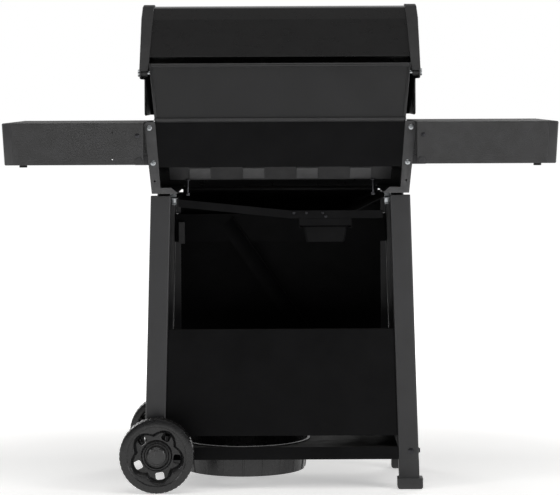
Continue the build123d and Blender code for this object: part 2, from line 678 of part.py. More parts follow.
def hood():
    """Fixed rear wall under the lid, with a side wing each end that carries the lid's pivot."""
    low = BOX_RIM_Z
    span = (HOOD_FRONT_Y, HOOD_REAR_Y)

    def outline(inset):
        return [
            (-hood_x(low) + inset, low),
            (hood_x(low) - inset, low),
            (hood_x(HOOD_TOP_Z) - inset, HOOD_TOP_Z),
            (-hood_x(HOOD_TOP_Z) + inset, HOOD_TOP_Z),
        ]

    shell = prism_xz(outline(0), span) - prism_xz(outline(SHEET), (span[0] - 1, span[1] - SHEET))
    cut_y = HOOD_FRONT_Y - 1
    wing_cut = [(cut_y, WING_TOP_Z), (cut_y, FAR), (WING_EAR_Y, FAR), (WING_EAR_Y, HOOD_TOP_Z)]
    shell -= prism_yz(wing_cut, (-FAR, FAR))
    roll_half = HOOD_TOP_X - 6
    roll_z = HOOD_TOP_Z - HOOD_ROLL_R
    shell += along_x(HOOD_REAR_Y, roll_z, (-roll_half, roll_half), HOOD_ROLL_R)
    return shell - along_x(PIVOT_Y, PIVOT_Z, (-FAR, FAR), PIVOT_R + RUNNING)


def burner(x):
    """Tube burner with two rows of ports, a neck over the gas jet and a foot at the back."""
    tail_y = BOX_HALF_Y - CAST_WALL - 16
    nose_y = -BOX_HALF_Y + 2 * CAST_WALL + 4
    tube = along_y(x, BURNER_Z, (nose_y, tail_y), BURNER_R)
    neck = along_y(x, BURNER_Z, (-BOX_HALF_Y - 9, nose_y + 1), BURNER_NECK_R)
    foot_z = (BOX_FLOOR_Z + CAST_WALL, BURNER_Z - BURNER_R / 2)
    body = tube + neck + block((x - 10, x + 10), (tail_y - 6, tail_y), foot_z)
    body -= along_y(x, BURNER_Z, (-BOX_HALF_Y - 10, tail_y - 4), BURNER_NECK_R - SHEET)
    step = (tail_y - nose_y) / (BURNER_PORTS + 1)
    port_x, port_z = BURNER_R + 2, BURNER_Z + 6
    for i in range(BURNER_PORTS):
        y = nose_y + step * (i + 1)
        body -= rod((x - port_x, y, port_z), (x + port_x, y, port_z), BURNER_PORT_R)
    return body


def tamer(x):
    """Folded steel tent over a burner."""
    half, rise = 46.0, 20.0
    outline = [
        (x - half, TAMER_Z),
        (x, TAMER_Z + rise),
        (x + half, TAMER_Z),
        (x + half - 3, TAMER_Z),
        (x, TAMER_Z + rise - SHEET - 0.3),
        (x - half + 3, TAMER_Z),
    ]
    half_y = BOX_HALF_Y - CAST_WALL - 4
    return prism_xz(outline, (-half_y, half_y))


def grate(side):
    """Cast cooking grate: a frame, long bars and two cross bars."""
    in_x = BOX_HALF_X - CAST_WALL - 3
    half_y = BOX_HALF_Y - CAST_WALL - 3
    x = sorted((side * 1.5, side * in_x))
    plate = block(x, (-half_y, half_y), (GRATE_Z, GRATE_Z + GRATE_THICKNESS))
    pitch = (x[1] - x[0] - GRATE_BAR) / GRATE_BARS
    gaps = []
    bay = (2 * half_y - 4 * GRATE_BAR) / 3
    for i in range(GRATE_BARS):
        low_x = x[0] + GRATE_BAR + i * pitch
        for j in range(3):
            low_y = -half_y + GRATE_BAR + j * (bay + GRATE_BAR)
            gap_z = (GRATE_Z - 1, GRATE_Z + GRATE_THICKNESS + 1)
            gaps.append(block((low_x, low_x + pitch - GRATE_BAR), (low_y, low_y + bay), gap_z))
    return plate - gaps


def warming_rack():
    """Wire rack held between the hood's wings."""
    y = RACK_Y
    reach = hood_x(RACK_Z) - SHEET - SEAT_GAP
    half = reach - 12
    rack = Part()
    for wire_y in (y[0], (y[0] + y[1]) / 2, y[1]):
        rack += along_x(wire_y, RACK_Z, (-reach, reach), RACK_WIRE_R)
    for i in range(RACK_WIRES):
        x = -half + 2 * half * i / (RACK_WIRES - 1)
        rack += along_y(x, RACK_Z + RACK_WIRE_R, y, RACK_WIRE_R * 0.8)
    return rack


# ---- Gas train and control panel ----
def manifold():
    """Gas pipe across the front with a valve and a jet for each burner."""
    reach = BURNER_XS[-1] + 50
    pipe = along_x(MANIFOLD_Y, BURNER_Z, (-reach, reach), MANIFOLD_R)
    for x in BURNER_XS:
        pipe += block((x - 11, x + 11), (MANIFOLD_Y - 8, MANIFOLD_Y + 12), (BURNER_Z - 8, BURNER_Z + 24))
        pipe += panel_rod(x, -36, -10, 10)
        pipe += panel_rod(x, -12, KNOB_BEZEL + 14, STEM_R)
        pipe += along_y(x, BURNER_Z, (MANIFOLD_Y + 10, -BOX_HALF_Y - 3), 5)
    half = INLET_BLOCK_FOOT - 3
    block_z = (BURNER_Z - INLET_BLOCK_FOOT, BURNER_Z + half)
    y = (MANIFOLD_Y - half, MANIFOLD_Y + half)
    return pipe + block((INLET_X - half, INLET_X + half), y, block_z)


def gas_inlet():
    """Flare fitting under the manifold that a bottle hose screws onto from below."""
    foot_z = BURNER_Z - INLET_BLOCK_FOOT - INLET_NUT
    hexagon = extrude(Plane.XY * RegularPolygon(radius=12, side_count=6), amount=INLET_NUT)
    nut = Pos(INLET_X, MANIFOLD_Y, foot_z) * hexagon
    tip_z = foot_z - INLET_LENGTH
    spigot = rod((INLET_X, MANIFOLD_Y, tip_z), (INLET_X, MANIFOLD_Y, foot_z), INLET_R)
    passage = rod((INLET_X, MANIFOLD_Y, tip_z - 1), (INLET_X, MANIFOLD_Y, foot_z + INLET_NUT + 1), 3)
    return nut + spigot - passage


def control_panel():
    """Pressed front fascia with holes for four stems and the ignition button."""
    foot_rear = (PANEL_REAR_Y, PANEL_FOOT[1])
    outline = [(PANEL_REAR_Y, PANEL_TOP[1]), PANEL_TOP, PANEL_BREAK, PANEL_FOOT, foot_rear]
    shell = prism_yz(outline, (-PANEL_HALF, PANEL_HALF))
    wall = PANEL_WALL
    inner = [
        (PANEL_REAR_Y + 1, PANEL_TOP[1] - wall),
        (PANEL_TOP[0] + wall * 0.7, PANEL_TOP[1] - wall),
        (PANEL_BREAK[0] + wall, PANEL_BREAK[1]),
        (PANEL_FOOT[0] + wall, PANEL_FOOT[1] - 1),
        (PANEL_REAR_Y + 1, PANEL_FOOT[1] - 1),
    ]
    shell -= prism_yz(inner, (-PANEL_HALF + wall, PANEL_HALF - wall))
    for x in BURNER_XS:
        shell -= panel_rod(x, -10, 5, STEM_R + 2)
    return shell - panel_rod(0, -10, 5, BUTTON_R + 0.4, BUTTON_RISE)


def knob(x):
    """Fluted control knob with a blind bore for its stem."""
    base = KNOB_BEZEL + 1
    body = panel_rod(x, base, base + KNOB_HEIGHT, KNOB_R)
    top = body.edges().filter_by(GeomType.CIRCLE).sort_by(Axis.Y)[0]
    body = fillet(top, 3)
    grip_half = 5.0
    plane = Plane(origin=off_panel(x, base + KNOB_HEIGHT), x_dir=(1, 0, 0), z_dir=PANEL_NORMAL)
    cheek = KNOB_R - grip_half
    for side in (-1, 1):
        local = Pos(side * (grip_half + cheek / 2 + 1), 0, 0) * Box(cheek, 2 * KNOB_R, 24)
        body -= plane * local
    return body - panel_rod(x, base - 1, KNOB_BEZEL + 14 + SEAT_GAP, STEM_R + RUNNING)


def bezel(x):
    ring = panel_rod(x, 0, KNOB_BEZEL, KNOB_BEZEL_R)
    return ring - panel_rod(x, -1, KNOB_BEZEL + 1, STEM_R + 1)


def ignition():
    """Push button and the igniter barrel it slides in."""
    add("ignition_button", panel_rod(0, -12, 7, BUTTON_R, BUTTON_RISE))
    barrel = panel_rod(0, -32, -PANEL_WALL - SEAT_GAP, BUTTON_R + 3, BUTTON_RISE)
    bore = panel_rod(0, -13 - 2 * BUTTON_STROKE, 0, BUTTON_R + RUNNING, BUTTON_RISE)
    add("igniter", barrel - bore)


# ---- Lid ----
def lid_face(grow):
    """Side view of the lid, grown outwards; its back and foot run on past the real edges."""
    back_y, back_z = LID_BACK_TOP
    slope = (back_z - LID_BACK_Z) / (LID_REAR_Y - back_y)
    rear_y = LID_REAR_Y + 180
    corners = [
        (-LID_FRONT_Y + LID_DRAFT, LID_RUN_OUT_Z),
        (-LID_FRONT_Y, LID_TOP_Z - 128),
        (-LID_FRONT_Y + 36, LID_TOP_Z - 32),
        (-130.0, LID_TOP_Z),
        (-78.0, LID_TOP_Z - 7),
        LID_BACK_TOP,
        (rear_y, back_z - slope * (rear_y - back_y)),
    ]
    top = FilletPolyline(*corners, radius=LID_BEND_R)
    close = Polyline(corners[-1], (rear_y, LID_RUN_OUT_Z), corners[0])
    face = make_face(Plane.YZ * (top + close))
    return offset(face, amount=grow) if grow else face


def lid_prism(grow, x):
    return Pos(x[0], 0, 0) * extrude(lid_face(grow), amount=x[1] - x[0], dir=(1, 0, 0))


def lid_skin():
    """Bent steel sheet between the end castings."""
    x = (-LID_SKIN_HALF, LID_SKIN_HALF)
    band = lid_prism(0, x) - lid_prism(-SHEET, (x[0] - 1, x[1] + 1))
    keep = block((-FAR, FAR), (-FAR, LID_REAR_Y), (LID_FOOT_Z, FAR))
    skin = band & keep
    return skin - along_y(0, GAUGE_Z, (-FAR, 0), 4.5)


def cap_region(inset, x):
    """Everything above the end casting's lower edge, which steps up behind the middle."""
    foot, cut_y, cut_z = LID_FOOT_Z + inset, LID_CUT_Y - inset, LID_CUT_Z + inset
    rear_y = PIVOT_Y + 17 - inset
    corners = [
        (-FAR, foot),
        (cut_y, foot),
        (cut_y, cut_z),
        (rear_y, cut_z),
        (rear_y, FAR),
        (-FAR, FAR),
    ]
    outline = FilletPolyline(*corners, radius=[0, 14, 8, 13, 0, 0], close=True)
    face = make_face(Plane.YZ * outline)
    return Pos(x[0], 0, 0) * extrude(face, amount=x[1] - x[0], dir=(1, 0, 0))


def lid_end():
    """End casting on the cook's right: a side wall and a rim that laps over the skin."""
    x = (LID_SEAM_X, LID_HALF)
    body = lid_prism(LID_CAP_STEP, x) & cap_region(0, x)
    hollow_x = (LID_SEAM_X - 1, LID_HALF - CAST_WALL)
    body -= lid_prism(SEAT_GAP, hollow_x)
    boss = along_x(PIVOT_Y, PIVOT_Z, (LID_SEAM_X + 3, LID_HALF - 1), PIVOT_R + 5)
    outer_edges = body.faces().sort_by(Axis.X)[-1].edges()
    body = fillet(outer_edges, 3.5)
    body += boss
    return body - along_x(PIVOT_Y, PIVOT_Z, (0, FAR), PIVOT_R + RUNNING)


def front_y(z):
    """Outer surface of the lid's front at a height below its upper bend."""
    share = (z - LID_RUN_OUT_Z) / (LID_TOP_Z - 128 - LID_RUN_OUT_Z)
    return -LID_FRONT_Y + LID_DRAFT * (1 - share)


def lid_handle():
    """Tube handle across the front."""
    y = -LID_FRONT_Y - HANDLE_REACH
    tube = along_x(y, HANDLE_Z, (-HANDLE_HALF, HANDLE_HALF), HANDLE_R)
    return fillet(tube.edges().filter_by(GeomType.CIRCLE), 3)


def handle_posts():
    """Two posts that hold the handle off the lid."""
    y = -LID_FRONT_Y - HANDLE_REACH
    grip = HANDLE_R + SEAT_GAP
    posts = []
    for side in (-1, 1):
        x = side * HANDLE_POST_X
        post = along_y(x, HANDLE_Z, (y, front_y(HANDLE_Z) - SEAT_GAP), 9)
        ring = along_x(y, HANDLE_Z, (x - 12, x + 12), HANDLE_R + 4)
        bore = along_x(y, HANDLE_Z, (x - 13, x + 13), grip)
        posts.append(post + ring - bore)
    return posts


def gauge():
    """Lid thermometer: a round case with a recessed dial and a probe through the skin."""
    back = front_y(GAUGE_Z + GAUGE_R) - SEAT_GAP
    case = along_y(0, GAUGE_Z, (back - GAUGE_DEPTH, back), GAUGE_R)
    case -= along_y(0, GAUGE_Z, (back - GAUGE_DEPTH - 1, back - 4), GAUGE_R - 5)
    case += along_y(0, GAUGE_Z, (back - 1, back + 60), 3.5)
    case += along_y(0, GAUGE_Z, (back - 7, back - 3), 1.5)
    needle = block((-1.2, 1.2), (back - 6.6, back - 5.6), (GAUGE_Z - 8, GAUGE_Z + 25))
    needle += along_y(0, GAUGE_Z, (back - 8, back - 5.6), 3.5)
    needle -= along_y(0, GAUGE_Z, (back - 7.2, back), 1.5 + RUNNING)
    return case, needle


def pivot_pins():
    pins = []
    for side in (-1, 1):
        inner = side * (hood_x(PIVOT_Z) - 8)
        face = side * (LID_HALF + SEAT_GAP)
        shank = along_x(PIVOT_Y, PIVOT_Z, sorted((inner, face)), PIVOT_R)
        head = along_x(PIVOT_Y, PIVOT_Z, sorted((face, face + side * 4)), PIVOT_R + 4)
        pins.append(shank + head)
    return pins


def lid():
    add("lid_skin", lid_skin())
    add("lid_end_right", lid_end())
    add("lid_end_left", flip(lid_end()))
    add("lid_handle", lid_handle(), *handle_posts())
    case, needle = gauge()
    add("thermometer", case)
    add("thermometer_needle", needle)
    add("lid_pivot_pins", *pivot_pins())


# ---- Side shelves ----
def shelf_outline(inner_top, inner_foot, outer_top, outer_foot, top_z, foot_z):
    return [(inner_foot, foot_z), (inner_top, top_z), (outer_top, top_z), (outer_foot, foot_z)]


def shelf():
    """Pressed shelf on the cook's right, open underneath and towards the firebox."""
    seam_top = SHELF_REACH - SHELF_END_CAP
    seam_foot = seam_top - SHELF_SLANT
    y = (-SHELF_HALF_Y, SHELF_HALF_Y)
    args = (SHELF_INNER_X, SHELF_INNER_X, seam_top, seam_foot, SHELF_TOP_Z, SHELF_FOOT_Z)
    body = prism_xz(shelf_outline(*args), y)
    long_edges = body.edges().filter_by(Axis.X).group_by(Axis.Z)[-1]
    body = fillet(long_edges, 3)
    inner = shelf_outline(
        SHELF_INNER_X - 1,
        SHELF_INNER_X - 1,
        seam_top - SHEET,
        seam_foot - SHEET,
        SHELF_TOP_Z - SHEET,
        SHELF_FOOT_Z - 1,
    )
    body -= prism_xz(inner, (y[0] + SHEET, y[1] - SHEET))
    return body - along_y(SHELF_PIVOT_X, SHELF_PIVOT_Z, (-FAR, FAR), SHELF_PIN_R + RUNNING)


def shelf_slots():
    """Two small tool slots in the rear face of the right-hand shelf."""
    slots = []
    half_x, half_z = TOOL_SLOT[0] / 2, TOOL_SLOT[1] / 2
    x = (TOOL_SLOT_X - half_x, TOOL_SLOT_X + half_x)
    for drop in TOOL_SLOT_DROPS:
        z = SHELF_TOP_Z - drop
        slots.append(block(x, (SHELF_HALF_Y - 3, SHELF_HALF_Y + 1), (z - half_z, z + half_z)))
    return slots


def shelf_end():
    """Moulded end cap of a shelf."""
    seam_top = SHELF_REACH - SHELF_END_CAP + SEAT_GAP
    seam_foot = seam_top - SHELF_SLANT
    outer_foot = SHELF_REACH - SHELF_SLANT
    y = (-SHELF_HALF_Y, SHELF_HALF_Y)
    args = (seam_top, seam_foot, SHELF_REACH, outer_foot, SHELF_TOP_Z, SHELF_FOOT_Z)
    body = prism_xz(shelf_outline(*args), y)
    outer_face = body.faces().sort_by(Axis.X)[-1]
    body = fillet(outer_face.edges(), 4)
    wall = 3.0
    inner = shelf_outline(
        seam_top + wall,
        seam_foot + wall,
        SHELF_REACH - wall,
        outer_foot - wall,
        SHELF_TOP_Z - wall,
        SHELF_FOOT_Z - 1,
    )
    return body - prism_xz(inner, (y[0] + wall, y[1] - wall))


def shelf_bumpers():
    """Rubber stops on short blocks under a shelf; folded down, they meet the legs."""
    bumpers = []
    web_z = SHELF_TOP_Z - SHEET - SEAT_GAP
    for side in (-1, 1):
        place = (BUMPER_X, side * LEG_ROW_Y)
        stem = rod((*place, SHELF_FOOT_Z), (*place, web_z), BUMPER_R * 0.6)
        foot_z = SHELF_FOOT_Z - BUMPER_HEIGHT
        bumpers.append(stem + rod((*place, foot_z), (*place, SHELF_FOOT_Z + 4), BUMPER_R))
    return bumpers


def shelf_hinges():
    """Arms fixed to the cradle's outer wall, with the pins that the shelf turns on."""
    arms = []
    low, high = SHELF_PIVOT_Z - 11, SHELF_PIVOT_Z + 13
    tip_x = SHELF_PIVOT_X + 11
    outline = [
        (cradle_x(low) + SEAT_GAP, low),
        (tip_x, low),
        (tip_x, high),
        (cradle_x(high) + SEAT_GAP, high),
    ]
    for side in (-1, 1):
        wall_y = side * (BOX_HALF_Y + CRADLE_SHEET)
        y = sorted((wall_y - side * 24, side * SHELF_ARM_Y))
        face = side * (SHELF_HALF_Y + SEAT_GAP)
        pin = along_y(SHELF_PIVOT_X, SHELF_PIVOT_Z, sorted((side * (SHELF_ARM_Y - 2), face)), SHELF_PIN_R)
        head_y = sorted((face, face + side * 3))
        head = along_y(SHELF_PIVOT_X, SHELF_PIVOT_Z, head_y, SHELF_PIN_R + 4)
        arms.append(prism_xz(outline, y) + pin + head)
    return arms


def side_shelves():
    slotted = shelf() - shelf_slots()
    add("shelf_right", slotted)
    add("shelf_left", flip(shelf()))
    add("shelf_right_end", shelf_end())
    add("shelf_left_end", flip(shelf_end()))
    add("shelf_right_bumpers", *shelf_bumpers())
    add("shelf_left_bumpers", *[flip(piece) for piece in shelf_bumpers()])
    add("shelf_hinges", *shelf_hinges(), *[flip(piece) for piece in shelf_hinges()])


# ---- Door ----
def door():
    """Pressed door: a front skin with folded edges, open at the back, and two hinge plates."""
    x = (-DOOR_HALF, DOOR_HALF)
    y = (DOOR_FRONT_Y, DOOR_REAR_Y)
    shell = block(x, y, DOOR_Z)
    front_edges = shell.faces().sort_by(Axis.Y)[0].edges()
    shell = fillet(front_edges, 3)
    in_x = (x[0] + DOOR_SHEET, x[1] - DOOR_SHEET)
    in_z = (DOOR_Z[0] + DOOR_SHEET, DOOR_Z[1] - DOOR_SHEET)
    shell -= block(in_x, (y[0] + DOOR_SHEET, y[1] - DOOR_SHEET), in_z)
    window_x = (x[0] + 24, x[1] - 14)
    shell -= block(window_x, (y[1] - 2 * DOOR_SHEET, y[1] + 1), (DOOR_Z[0] + 14, DOOR_Z[1] - 14))
    pin_x, pin_y = door_pin_place()
    return shell - rod((pin_x, pin_y, -FAR), (pin_x, pin_y, FAR), DOOR_PIN_R + RUNNING)


def door_pin_place():
    return -DOOR_HALF + DOOR_PIN_INSET, (DOOR_FRONT_Y + DOOR_REAR_Y) / 2


def door_pins():
    """Hinge pins on two plates that reach in from the leg, below and above the door."""
    pin_x, pin_y = door_pin_place()
    pins = []
    for edge, out in zip(DOOR_Z, (-1, 1)):
        z = sorted((edge + out, edge + out * (1 + DOOR_PLATE)))
        leg_face = -leg_inner_x(z[1]) + SEAT_GAP
        plate = block((leg_face, pin_x + 12), (pin_y - 6, pin_y + 6), z)
        pin_z = sorted((edge - out * 14, edge + out * DOOR_PLATE))
        pins.append(plate + rod((pin_x, pin_y, pin_z[0]), (pin_x, pin_y, pin_z[1]), DOOR_PIN_R))
    return pins


def door_handle():
    """Bar handle on two posts, with the two screws that hold it from inside."""
    bar_y = DOOR_FRONT_Y - DOOR_HANDLE_REACH
    low, high = DOOR_HANDLE_Z
    bar = rod((DOOR_HANDLE_X, bar_y, low - 22), (DOOR_HANDLE_X, bar_y, high + 22), DOOR_HANDLE_R)
    screws = []
    for z in (low, high):
        bar += along_y(DOOR_HANDLE_X, z, (bar_y, DOOR_FRONT_Y), DOOR_HANDLE_R - 1)
        inner = DOOR_FRONT_Y + DOOR_SHEET
        screws.append(along_y(DOOR_HANDLE_X, z, (inner, inner + SCREW_HEAD), SCREW_HEAD_R - 1))
    return bar, *screws


# ---- Grease tray and drip cup ----
def grease_tray():
    """Sliding tray: a floor that falls to the drain, end lips, and bands front and back."""
    low_left, low_right = TRAY_LOW_X
    top = [
        (-TRAY_HALF_X - TRAY_LIP, TRAY_LIP_Z),
        (-TRAY_HALF_X, TRAY_LIP_Z),
        (low_left, TRAY_LOW_Z + SHEET),
        (low_right, TRAY_LOW_Z + SHEET),
        (TRAY_HALF_X - SHEET, TRAY_HIGH_Z - TRAY_BAND + SHEET),
        (TRAY_HALF_X - SHEET, TRAY_LIP_Z),
        (TRAY_HALF_X + TRAY_LIP, TRAY_LIP_Z),
    ]
    under = [
        (TRAY_HALF_X + TRAY_LIP, TRAY_LIP_Z - SHEET),
        (TRAY_HALF_X, TRAY_LIP_Z - SHEET),
        (TRAY_HALF_X, TRAY_HIGH_Z - TRAY_BAND),
        (low_right, TRAY_LOW_Z),
        (low_left - SHEET, TRAY_LOW_Z),
        (-TRAY_HALF_X - SHEET, TRAY_LIP_Z - SHEET),
        (-TRAY_HALF_X - TRAY_LIP, TRAY_LIP_Z - SHEET),
    ]
    floor = prism_xz(top + under, TRAY_Y)
    band_outline = [
        (-TRAY_HALF_X, TRAY_LOW_Z),
        (low_right, TRAY_LOW_Z),
        (TRAY_HALF_X, TRAY_HIGH_Z - TRAY_BAND),
        (TRAY_HALF_X, TRAY_HIGH_Z),
        (low_right, TRAY_LOW_Z + TRAY_BAND),
        (-TRAY_HALF_X, TRAY_LOW_Z + TRAY_BAND),
    ]
    rear = prism_xz(band_outline, (TRAY_Y[1] - SHEET, TRAY_Y[1]))
    front = prism_xz(band_outline, (TRAY_Y[0], TRAY_Y[0] + SHEET))
    middle_y = (CUP_Y[0] + CUP_Y[1]) / 2
    drain = Pos(TRAY_DRAIN_X, middle_y, TRAY_LOW_Z) * Cylinder(TRAY_DRAIN_R, 8 * SHEET)
    return floor + rear + front - drain


def tray_rails():
    """Galvanised angle rails that the tray's end lips slide on."""
    wall_x = LEG_TOP_X - SIDE_RAIL[0] / 2 - 8 - SEAT_GAP
    high = TRAY_LIP_Z - SHEET - SEAT_GAP
    leg_face = leg_inner_x(CRADLE_Z) - SEAT_GAP
    ledge = block((TRAY_HALF_X + 3, leg_face), (TRAY_Y[0], TRAY_Y[1] - 4), (high - SHEET, high))
    wall_y = (-LEG_INNER_FACE_Y + SEAT_GAP, LEG_INNER_FACE_Y - SEAT_GAP)
    web = block((leg_face - 1, wall_x), wall_y, (high - SHEET, high))
    wall = block((wall_x - SHEET, wall_x), wall_y, (high - SHEET, CRADLE_Z - 2))
    rail = ledge + web + wall
    return rail, flip(rail)


def cup_holder():
    """Rear plate and two side runners under the tray, which carry the drip cup's rim."""
    under = TRAY_LOW_Z - SEAT_GAP
    runner_z = CUP_Z[1] - SHEET - SEAT_GAP
    x = (CUP_X[0] - CUP_RIM - 3, CUP_X[1] + CUP_RIM + 3)
    y = (CUP_Y[0] - 6, TRAY_Y[1] - SHEET)
    rear = block(x, (y[1] - SHEET, y[1]), (CUP_Z[1] + 3, under))
    holder = rear
    for side, edge in ((-1, x[0]), (1, x[1])):
        wall = block(sorted((edge, edge - side * SHEET)), y, (runner_z - SHEET, under))
        runner = block(sorted((edge, edge - side * 7)), y, (runner_z - SHEET, runner_z))
        holder += wall + runner
    return holder + block(x, (y[0], y[0] + 12), (under - SHEET, under))


def drip_cup():
    """Pressed aluminium cup with a flat rim."""
    rim_z = CUP_Z[1]

    def basin(inset, low, high):
        def ring(z):
            taper = CUP_TAPER * (rim_z - z) / (rim_z - CUP_Z[0]) + inset
            width = CUP_X[1] - CUP_X[0] - 2 * taper
            depth = CUP_Y[1] - CUP_Y[0] - 2 * taper
            middle = ((CUP_X[0] + CUP_X[1]) / 2, (CUP_Y[0] + CUP_Y[1]) / 2, z)
            return Plane(origin=middle) * RectangleRounded(width, depth, 10)

        return loft([ring(low), ring(high)])

    body = basin(0, CUP_Z[0], rim_z)
    rim_x = (CUP_X[0] - CUP_RIM, CUP_X[1] + CUP_RIM)
    rim_y = (CUP_Y[0] - CUP_RIM + 4, CUP_Y[1] + CUP_RIM - 4)
    body += block(rim_x, rim_y, (rim_z - SHEET, rim_z))
    return body - basin(CUP_WALL, CUP_Z[0] + CUP_WALL, rim_z + 1)


# ---- Assembly ----
def build():
    cart_frame()
    wheels()
    add("firebox", firebox())
    add("cradles", cradle(), flip(cradle()))
    add("frame_screws", *frame_screws())
    add("rear_heat_shield", heat_shield())
    add("rear_hood", hood())
    for i, x in enumerate(BURNER_XS):
        add(f"knob_{i + 1}", knob(x))
    add("burners", *[burner(x) for x in BURNER_XS])
    add("flame_tamers", *[tamer(x) for x in BURNER_XS])
    add("grate_left", grate(-1))
    add("grate_right", grate(1))
    add("warming_rack", warming_rack())
    add("gas_manifold", manifold())
    add("gas_inlet", gas_inlet())
    add("control_panel", control_panel())
    add("knob_bezels", *[bezel(x) for x in BURNER_XS])
    ignition()
    lid()
    side_shelves()
    add("door", door())
    add("door_pins", *door_pins())
    add("door_handle", *door_handle())
    add("grease_tray", grease_tray())
    add("tray_rails", *tray_rails())
    add("cup_holder", cup_holder())
    add("drip_cup", drip_cup())


build()
whole = Compound([solid for solids in nodes.values() for solid in solids]).bounding_box()
centre = whole.center()
to_origin = Pos(-centre.X, -centre.Y, -whole.min.Z)
print("moved by", to_origin.position, "size", whole.size, "nodes", len(nodes))
os.makedirs("parts", exist_ok=True)
for node, solids in nodes.items():
    placed = [to_origin * solid for solid in solids]
    shape = placed[0] if len(placed) == 1 else Compound(placed)
    export_step(shape, f"parts/{node}.step")
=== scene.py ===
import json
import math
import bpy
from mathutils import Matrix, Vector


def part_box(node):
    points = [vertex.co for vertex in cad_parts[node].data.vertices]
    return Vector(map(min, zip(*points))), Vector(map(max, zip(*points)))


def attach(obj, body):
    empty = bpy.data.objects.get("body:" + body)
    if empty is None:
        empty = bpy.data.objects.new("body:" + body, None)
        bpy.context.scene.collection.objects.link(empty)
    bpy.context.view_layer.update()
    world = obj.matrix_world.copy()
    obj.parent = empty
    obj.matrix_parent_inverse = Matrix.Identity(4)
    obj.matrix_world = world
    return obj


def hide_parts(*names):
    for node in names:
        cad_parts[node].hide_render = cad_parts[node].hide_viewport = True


bl_info = {
    "name": "Gas Barbecue Grill",
    "version": (1, 0, 0),
    "blender": (4, 5, 0),
    "location": "3D Viewport > Sidebar > Grill",
    "description": "Dresses a four-burner gas grill: finishes, wheels, knobs, gauge, fittings and stage",
    "category": "Object",
}

import bmesh
import bpy
from mathutils import Matrix, Vector

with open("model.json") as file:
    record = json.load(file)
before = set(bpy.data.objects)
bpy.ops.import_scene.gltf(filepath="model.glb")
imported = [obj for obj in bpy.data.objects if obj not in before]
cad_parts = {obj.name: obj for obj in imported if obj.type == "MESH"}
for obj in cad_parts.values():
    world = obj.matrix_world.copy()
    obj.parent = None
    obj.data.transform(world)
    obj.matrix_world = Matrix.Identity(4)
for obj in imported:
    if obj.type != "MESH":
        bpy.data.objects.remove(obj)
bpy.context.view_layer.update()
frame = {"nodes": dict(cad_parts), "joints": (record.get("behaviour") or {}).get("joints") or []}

MM = 0.001
ROUND = 2 * math.pi
FIRST_WINDOW = 45.3  # degrees from level to a wheel's first window
HANGER_X, HANGER_Y = 238, 158  # a tray hanger bolt, from the firebox's middle, in mm
SLOPE_Y = 155  # where the hopper's rear slope begins, behind the firebox's middle, in mm


# ---- Reading the frame ----
def extent(node):
    """Lowest and highest corner of a node, in millimetres."""
    low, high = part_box(node)
    return Vector(low) / MM, Vector(high) / MM


def middle(node):
    low, high = extent(node)
    return (low + high) / 2


def joint(name):
    """Place, in millimetres, and unit axis of a joint."""
    found = next(item for item in frame["joints"] if item["name"] == name)
    return Vector(found["pos_m"]) / MM, Vector(found["axis"]).normalized()


def facing(place, axis):
    """Matrix that puts a piece made along +Z at a place, facing an axis, its +X kept level."""
    side = Vector((1, 0, 0)) if abs(axis.x) < 0.9 else Vector((0, 1, 0))
    up = axis.cross(side).normalized()
    side = up.cross(axis).normalized()
    turn = Matrix((side, up, axis)).transposed().to_4x4()
    return Matrix.Translation(place) @ turn


# ---- Sizes and colours that a user would change ----
class GrillSizes(bpy.types.PropertyGroup):
    leg_corner: bpy.props.FloatProperty(
        name="Leg corner",
        description="Corner radius of the rectangular leg tubes",
        default=4.5 * MM,
        min=1.0 * MM,
        max=9.0 * MM,
        unit="LENGTH",
    )
    tread_notches: bpy.props.IntProperty(
        name="Tread notches",
        description="Notches round the tread of a wheel",
        default=46,
        min=12,
        max=72,
    )
    wheel_ribs: bpy.props.IntProperty(
        name="Wheel ribs",
        description="Radial ribs on the inner side of a wheel, clear of its five windows",
        default=10,
        min=5,
        max=10,
    )
    recess_lobe: bpy.props.FloatProperty(
        name="Recess lobe",
        description="How far the wheel's scalloped recess runs out past each window",
        default=14.0 * MM,
        min=2.0 * MM,
        max=16.0 * MM,
        unit="LENGTH",
    )
    knob_flutes: bpy.props.IntProperty(
        name="Knob flutes",
        description="Grip flutes round the skirt of a control knob",
        default=24,
        min=8,
        max=48,
    )
    dial_start: bpy.props.IntProperty(
        name="Dial start",
        description="First number on the lid's thermometer, in degrees Celsius",
        default=50,
    )
    dial_step: bpy.props.IntProperty(
        name="Dial step",
        description="Step between the numbers of the thermometer",
        default=50,
    )


def linear(text):
    """A six-digit sRGB hex value as linear red, green and blue."""
    parts = [int(text[i : i + 2], 16) / 255 for i in (0, 2, 4)]
    return tuple(p / 12.92 if p <= 0.04045 else ((p + 0.055) / 1.055) ** 2.4 for p in parts)


def colour_setting(label, text, what):
    return bpy.props.FloatVectorProperty(
        name=label, description=what, default=linear(text), subtype="COLOR", size=3, min=0, max=1
    )


class GrillColours(bpy.types.PropertyGroup):
    enamel: colour_setting("Enamel", "101011", "Baked enamel of the lid and the control panel")
    hood: colour_setting("Hood", "161617", "Satin paint of the fixed rear hood")
    frame: colour_setting("Frame", "262627", "Powder coat of the legs and rails")
    casting: colour_setting("Casting", "1f1f20", "Coat of the cast lid ends and the firebox")
    shelf: colour_setting("Shelf", "292929", "Grained powder coat of the side shelves")
    plastic: colour_setting("Plastic", "2e2e2f", "Moulded plastic of the wheels, feet and knobs")
    floor: colour_setting("Floor", "e9e8e6", "Studio floor")


def rgba(name):
    return (*getattr(bpy.context.scene.grill_colours, name), 1.0)


def tint(text):
    return (*linear(text), 1.0)


